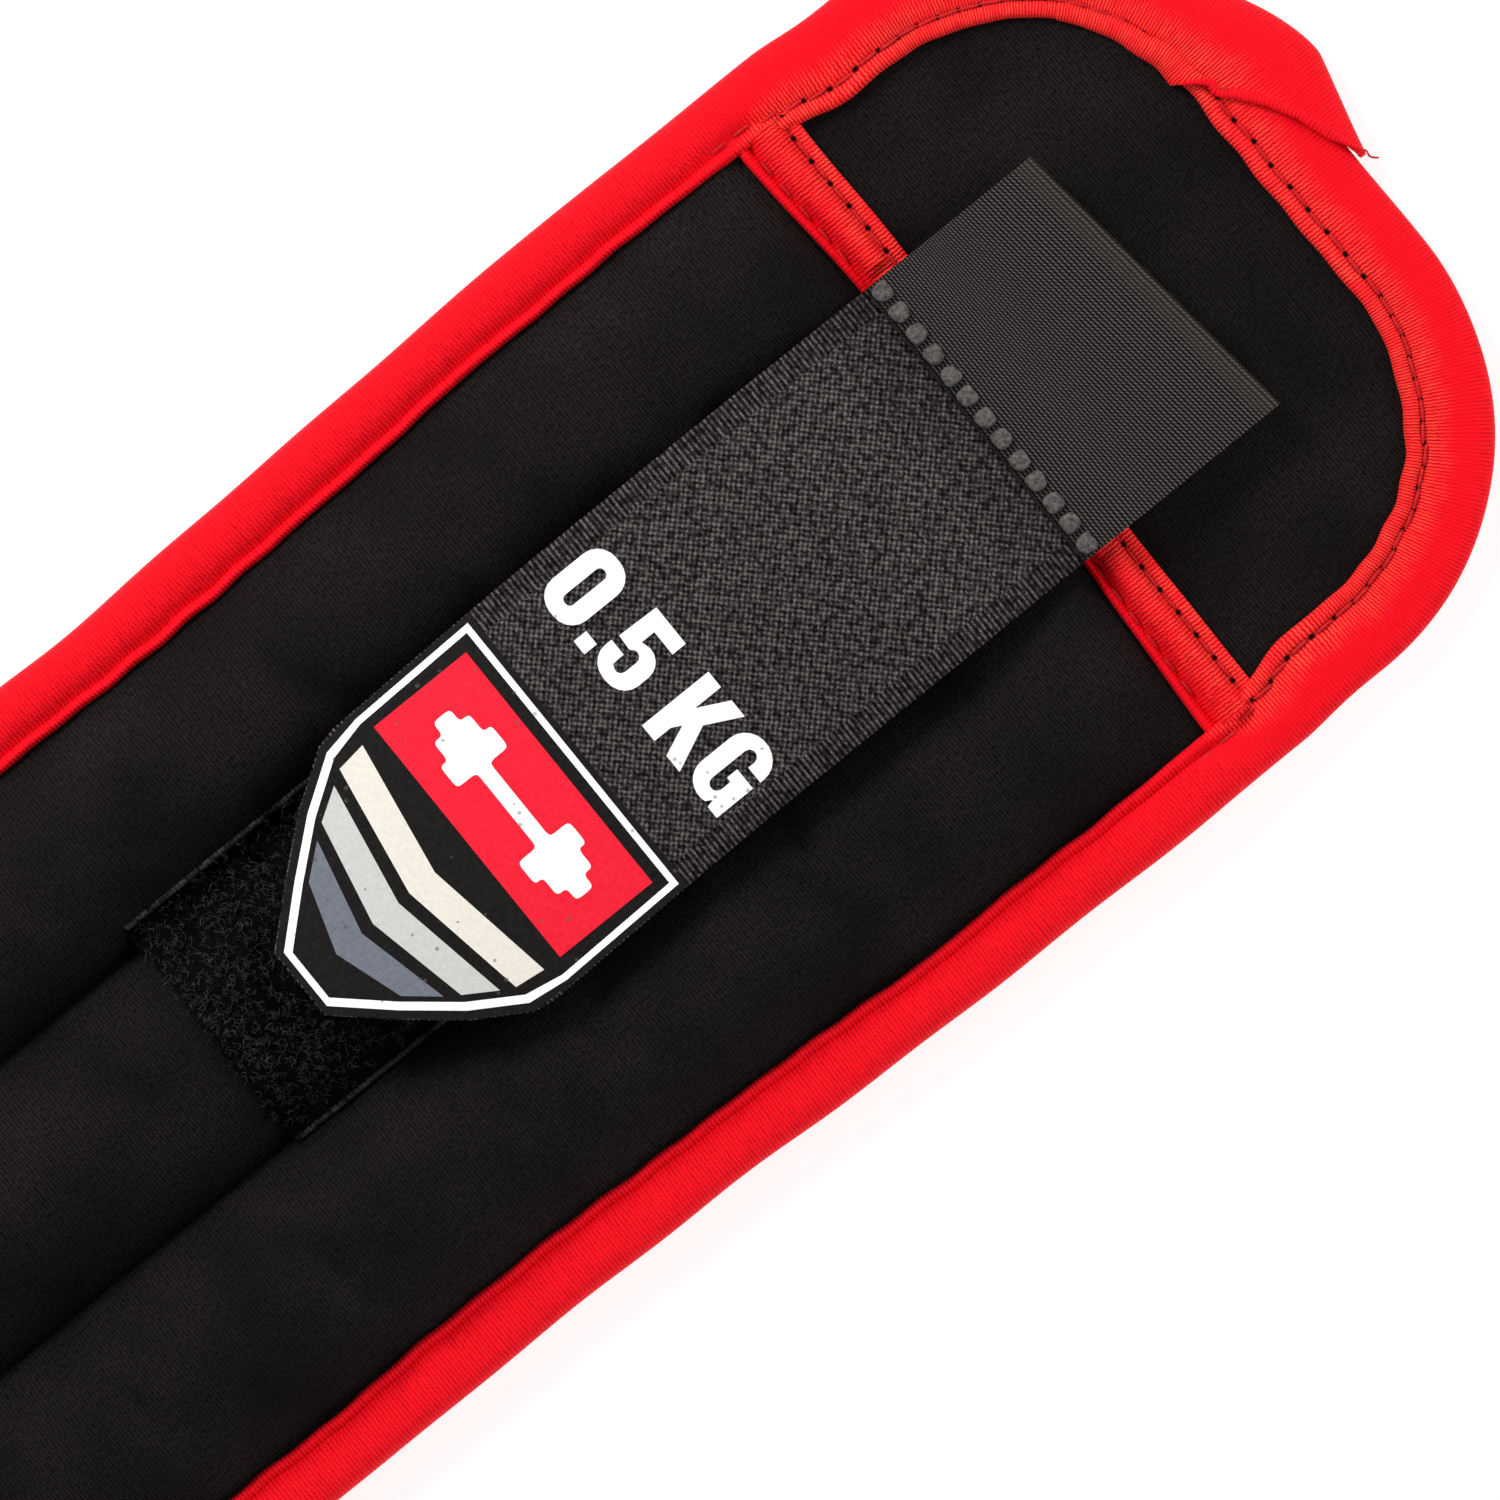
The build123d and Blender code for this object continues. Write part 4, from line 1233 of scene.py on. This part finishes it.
def glyph_outlines():
    """Bold condensed figures and letters, nine high: each is (advance, list of closed outlines)."""
    zero = [rounded_box(0, 0, 5.4, 9, 2.4), rounded_box(2.05, 1.8, 3.35, 7.2, 0.6)]
    point = [[(0, 0), (1.7, 0), (1.7, 1.7), (0, 1.7)]]
    five = [
        [(0.3, 9), (0.15, 4.1), (1.9, 4.0)] + arc_points(2.65, 3.75, 0.72, 0.75, 150, 0)
        + arc_points(2.65, 2.2, 0.72, 0.75, 0, -180)
        + [(1.93, 3.2), (0, 3.2)] + arc_points(2.4, 2.3, 2.4, 2.3, 180, 270)
        + arc_points(2.9, 2.3, 2.4, 2.3, 270, 360)
        + arc_points(3.2, 3.7, 2.1, 2.1, 0, 90) + [(2.1, 5.5), (2.1, 7.2), (5.0, 7.2), (5.0, 9)]
    ]
    k = [[(0, 0), (2, 0), (2, 2.2), (2.55, 3.3), (3.9, 0), (6.0, 0), (3.85, 5.0), (5.8, 9), (3.7, 9),
          (2, 5.5), (2, 9), (0, 9)]]
    g = [
        arc_points(2.7, 6.4, 2.7, 2.6, 0, 180, 12) + arc_points(2.5, 2.5, 2.5, 2.5, 180, 290, 9)
        + [(3.75, 0.9), (3.95, 0), (5.4, 0), (5.4, 4.9), (2.9, 4.9), (2.9, 3.5), (3.45, 3.5)]
        + arc_points(2.72, 2.25, 0.75, 0.75, 0, -180) + arc_points(2.72, 6.75, 0.75, 0.75, 180, 0)
        + [(3.45, 5.9), (5.4, 5.9)]
    ]
    return {"0": (6.0, zero), ".": (2.2, point), "5": (5.9, five), " ": (2.4, []),
            "K": (6.3, k), "G": (6.0, g)}


def print_on_strap(name, outlines, material, lift, zone, nodes=()):
    """Ink of the given closed outlines, in x and y, laid on the strap's top face."""
    made = bmesh.new()
    for outline_points in outlines:
        verts = [made.verts.new((x, y, 0)) for x, y in outline_points]
        for a, b in zip(verts, verts[1:] + verts[:1]):
            made.edges.new((a, b))
    bmesh.ops.triangle_fill(made, edges=made.edges[:], use_beauty=True, use_dissolve=False)
    split = 1.2  # spacing of the cuts that let the ink follow the strap
    reach = [[v.co[axis] for v in made.verts] for axis in (0, 1)]
    for values, normal in zip(reach, ((1, 0, 0), (0, 1, 0))):
        for cut in np.arange(min(values) + 0.613 * split, max(values), split):
            place = [cut * part for part in normal]
            geom = made.verts[:] + made.edges[:] + made.faces[:]
            bmesh.ops.bisect_plane(made, geom=geom, plane_co=place, plane_no=normal)
    bmesh.ops.recalc_face_normals(made, faces=made.faces[:])
    if sum(f.normal.z for f in made.faces) < 0:
        bmesh.ops.reverse_faces(made, faces=made.faces[:])
    grown = bmesh.ops.extrude_face_region(made, geom=made.faces[:])
    raised = {v for v in grown["geom"] if isinstance(v, bmesh.types.BMVert)}
    for v in made.verts:
        v.co.z = float(strap_top(v.co.x, v.co.y)) + (lift if v in raised else -0.1)
    bmesh.ops.recalc_face_normals(made, faces=made.faces[:])
    bmesh.ops.scale(made, vec=(MM, MM, MM), verts=made.verts[:])
    mesh = bpy.data.meshes.new(name)
    made.to_mesh(mesh)
    made.free()
    mesh.shade_smooth()
    mesh.set_sharp_from_angle(angle=math.radians(40))
    mesh.materials.append(material)
    attach(add_object(name, mesh), zone, nodes)


def build_marking():
    """The weight, read from +Y to -Y with the tops of its figures towards the strap's welded end."""
    glyphs = glyph_outlines()
    text = "0.5 KG"
    width = sum(glyphs[c][0] for c in text)
    foot_x, start_y = 67.9, strap_middle(72.0) + width * 0.565 - 0.2
    outlines, cursor = [], 0.0
    for c in text:
        advance, shapes = glyphs[c]
        outlines += [[(foot_x + 1.04 * b, start_y - cursor - 1.09 * a) for a, b in shape] for shape in shapes]
        cursor += advance * 1.13
    print_on_strap("weight_marking_ink", outlines, WHITE_INK, 0.17, STRAP_ZONES[1],
                   ["weight_marking"])


def emblem_edge(inset):
    """Outline of the emblem, drawn in from the strap's cut end."""
    top_x = 61.0 - inset
    xs = [top_x, 44.0, 39.0 + 0.3 * inset, 33.0 + 0.5 * inset, 27.0 + 0.75 * inset, STRAP_TIP_X + inset]
    right = [(x, strap_middle(x) + strap_half(x - (0 if x > 43 else 0.75 * inset)) - inset) for x in xs]
    left = [(x, 2 * strap_middle(x) - y) for x, y in right]
    return right + left[::-1]


def chevron(x, thick, drop, inset):
    """A plain V stripe across the emblem, pointing to the strap's tip."""
    middle = strap_middle(x)
    wide, narrow = strap_half(x + thick) - inset, strap_half(x) - inset
    return [(x + thick, middle + wide), (x, middle + narrow), (x - drop, middle), (x, middle - narrow),
            (x + thick, middle - wide), (x + thick - drop, middle)]


def soften(points, times=2, share=0.22):
    """A closed outline with its corners cut back a little, again and again."""
    for _ in range(times):
        after = points[1:] + points[:1]
        pairs = []
        for (ax, ay), (bx, by) in zip(points, after):
            cut = min(share, 0.35 / max(math.hypot(bx - ax, by - ay), 1e-6))
            pairs.append((ax + (bx - ax) * cut, ay + (by - ay) * cut))
            pairs.append((bx + (ax - bx) * cut, by + (ay - by) * cut))
        points = pairs
    return points


def dumbbell(x, reach):
    """Pictogram of a dumbbell lying across the strap."""
    y = strap_middle(x)
    side = [(0.9, reach * 0.42), (3.6, reach * 0.42), (3.6, reach * 0.66), (2.5, reach * 0.66),
            (2.5, reach * 0.86), (1.2, reach * 0.86), (1.2, reach)]
    upper = [(x + a, y + b) for a, b in side]
    back = [(x - a, y + b) for a, b in reversed(side)]
    lower = [(x - a, y - b) for a, b in side]
    front = [(x + a, y - b) for a, b in reversed(side)]
    return soften(upper + back + lower + front)


def build_emblem():
    """A generic badge: white keyline, red panel with a dumbbell, and three plain stripes."""
    zone = STRAP_ZONES[2]
    middle = strap_middle(52.0)
    print_on_strap("emblem_ground", [emblem_edge(0.12)], BLACK_INK, 0.13, zone,
                   ["emblem_print_1", "emblem_print_2"])
    keyline = [emblem_edge(0.85), emblem_edge(1.6)]
    print_on_strap("emblem_keyline", keyline, WHITE_INK, 0.18, zone)
    panel = [(58.0, middle - 16.2), (58.0, middle + 16.2), (45.0, middle + 16.2), (45.0, middle - 16.2)]
    print_on_strap("emblem_panel", [panel, dumbbell(51.5, 12.5)], RED_INK, 0.18, zone)
    print_on_strap("emblem_dumbbell", [dumbbell(51.5, 12.5)], WHITE_INK, 0.18, zone)
    stripes = (("cream", 39.2, CREAM_INK), ("grey", 34.0, GREY_INK), ("slate", 28.8, SLATE_INK))
    for name, x, material in stripes:
        stripe = [chevron(x, 3.6, 2.6, 3.4)]
        print_on_strap(f"emblem_stripe_{name}", stripe, material, 0.18, zone)


build_marking()
build_emblem()


# ---- Keeper and ring ---------------------------------------------------------------------------------------
def build_keeper():
    """Webbing folded round the ring's bar and sewn down on the far flap."""
    low, high = cad("ring_keeper")
    bar_x, bar_z = JOINT_X["ring_swivel"], (low[2] + high[2]) / 2
    turn = np.linspace(math.pi / 2, 3 * math.pi / 2, 25)
    loop = [(bar_x + 2.4 * math.cos(a), bar_z + 2.4 * math.sin(a)) for a in turn]
    apart = 0.52  # of either layer from the bar's height
    pressed = 2.0  # down towards the flap where it is sewn
    upper = [(x, bar_z + apart) for x in np.linspace(high[0], bar_x + 5.0, 34)]
    lower = [(x, bar_z - apart) for x in np.linspace(bar_x + 5.0, high[0], 34)]
    line = np.array(upper + loop + lower)
    sewn = smooth(line[:, 0], FAR_END_X + 8.5, FAR_END_X + 14.0)
    line[:, 1] -= pressed * sewn
    run = run_along(line)
    fine = np.arange(0, run[-1], 0.26)
    step = at_run(fine, run, unit(np.gradient(line, axis=0)))
    line = at_run(fine, run, line)
    y = np.linspace(-STRAP_HALF, STRAP_HALF, 147)
    middle = stacked(line[:, :1], y, line[:, 1:])
    out = stacked(step[:, 1], 0.0, -step[:, 0])[:, None]
    weave = weave_height(fine[:, None], y)[..., None]
    flat = stacked(fine[:, None], y)
    piece = slab("ring_keeper_webbing", middle + out * (0.45 + weave), middle - out * 0.45, flat, WEBBING)
    attach(piece, ZONES[-1], ["ring_keeper"])
    stitches = []
    top_z = bar_z + apart - pressed + 0.55
    x0, x1 = FAR_END_X + 15.0, high[0] - 2.0
    y0, y1 = -16.0, 16.0
    corners = [(x0, y0), (x1, y0), (x1, y1), (x0, y1), (x0, y0), (x1, y1), (x1, y0), (x0, y1)]
    for a, b in zip(corners, corners[1:]):
        a, b = np.array([*a, top_z]), np.array([*b, top_z])
        count = max(2, int(np.linalg.norm(b - a) / 2.2))
        for i in range(count):
            centre = a + (b - a) * (i + 0.5) / count
            stitches.append(stitch_shape(centre + 0.05 * UP, unit(b - a), UP, 1.7, 0.2))
    attach(many("keeper_stitches", stitches, BLACK_THREAD), ZONES[-1])


build_keeper()

# ---- CAD nodes that are shown as they are ------------------------------------------------------------------
for name, node in frame["nodes"].items():
    finish = None
    if name == "ring":
        finish = NICKEL
    elif name.startswith("iron_sand"):
        finish = SAND
    elif name.startswith("sand_bags"):
        finish = BAG
    if finish:
        node.data.materials.clear()
        node.data.materials.append(finish)
        node.data.shade_smooth()

# ---- Floor, light and camera -------------------------------------------------------------------------------
FLOOR_Z = -0.4
VIEW_CENTRE = (NEAR_BINDING_X - 44.6, -10.9)
VIEW_WIDTH = 164.0
VIEW_TURN = math.radians(-39.0)
CAMERA_HEIGHT = 2000.0


def build_stage():
    """A wide white floor, mostly see-through so that it only takes a faint shade."""
    mesh = bpy.data.meshes.new("floor")
    reach = 4.0
    corners = [(x * reach, y * reach, FLOOR_Z * MM) for x, y in ((-1, -1), (1, -1), (1, 1), (-1, 1))]
    mesh.from_pydata(corners, [], [(0, 1, 2, 3)])
    floor = add_object("floor", mesh)
    s = Shader("floor_paper", 0.9, specular=0.1)
    s.colour((0.93, 0.93, 0.93, 1))
    clear = s.node("BsdfTransparent")
    blend = s.node("MixShader")
    blend.inputs[0].default_value = 0.32
    s.feed(blend.inputs[1], clear.outputs[0])
    s.feed(blend.inputs[2], s.principled.outputs[0])
    s.feed(s.tree.nodes["Material Output"].inputs[0], blend.outputs[0])
    mesh.materials.append(s.material)


def build_light():
    """A pale studio tent, darker overhead where the camera stands, with a key light and a weaker fill."""
    world = bpy.data.worlds.new("studio")
    bpy.context.scene.world = world
    world.use_nodes = True
    tree = world.node_tree
    background = tree.nodes["Background"]
    background.inputs[0].default_value = (1, 1, 1, 1)
    split = tree.nodes.new("ShaderNodeSeparateXYZ")
    tree.links.new(tree.nodes.new("ShaderNodeTexCoord").outputs["Generated"], split.inputs[0])
    level = tree.nodes.new("ShaderNodeMapRange")
    for socket, value in zip(level.inputs[1:5], (0.25, 0.85, 1.12, 0.18)):
        socket.default_value = value
    tree.links.new(split.outputs[2], level.inputs[0])
    tree.links.new(level.outputs[0], background.inputs[1])
    lamps = (("key", (-0.02, 0.62, 0.55), 0.3, 6.1), ("fill", (0.62, -0.2, 0.6), 0.6, 3.1))
    for name, place, size, power in lamps:
        data = bpy.data.lights.new(name, "AREA")
        data.size = size
        data.energy = power
        light = add_object(name, data)
        light.visible_camera = False
        light.location = place
        light.rotation_euler = light.location.to_track_quat("Z", "Y").to_euler()


def build_camera():
    """A distant camera straight above, turned as the photo is."""
    data = bpy.data.cameras.new("camera")
    data.sensor_width = 36.0
    data.lens = data.sensor_width * (CAMERA_HEIGHT - STRAP_TOP_Z) / VIEW_WIDTH
    data.clip_start, data.clip_end = 0.05, 20.0
    camera = add_object("camera", data)
    camera.location = (VIEW_CENTRE[0] * MM, VIEW_CENTRE[1] * MM, CAMERA_HEIGHT * MM)
    camera.rotation_euler = (0, 0, VIEW_TURN)
    bpy.context.scene.camera = camera


build_stage()
build_light()
build_camera()
bpy.context.scene.view_settings.view_transform = "Standard"
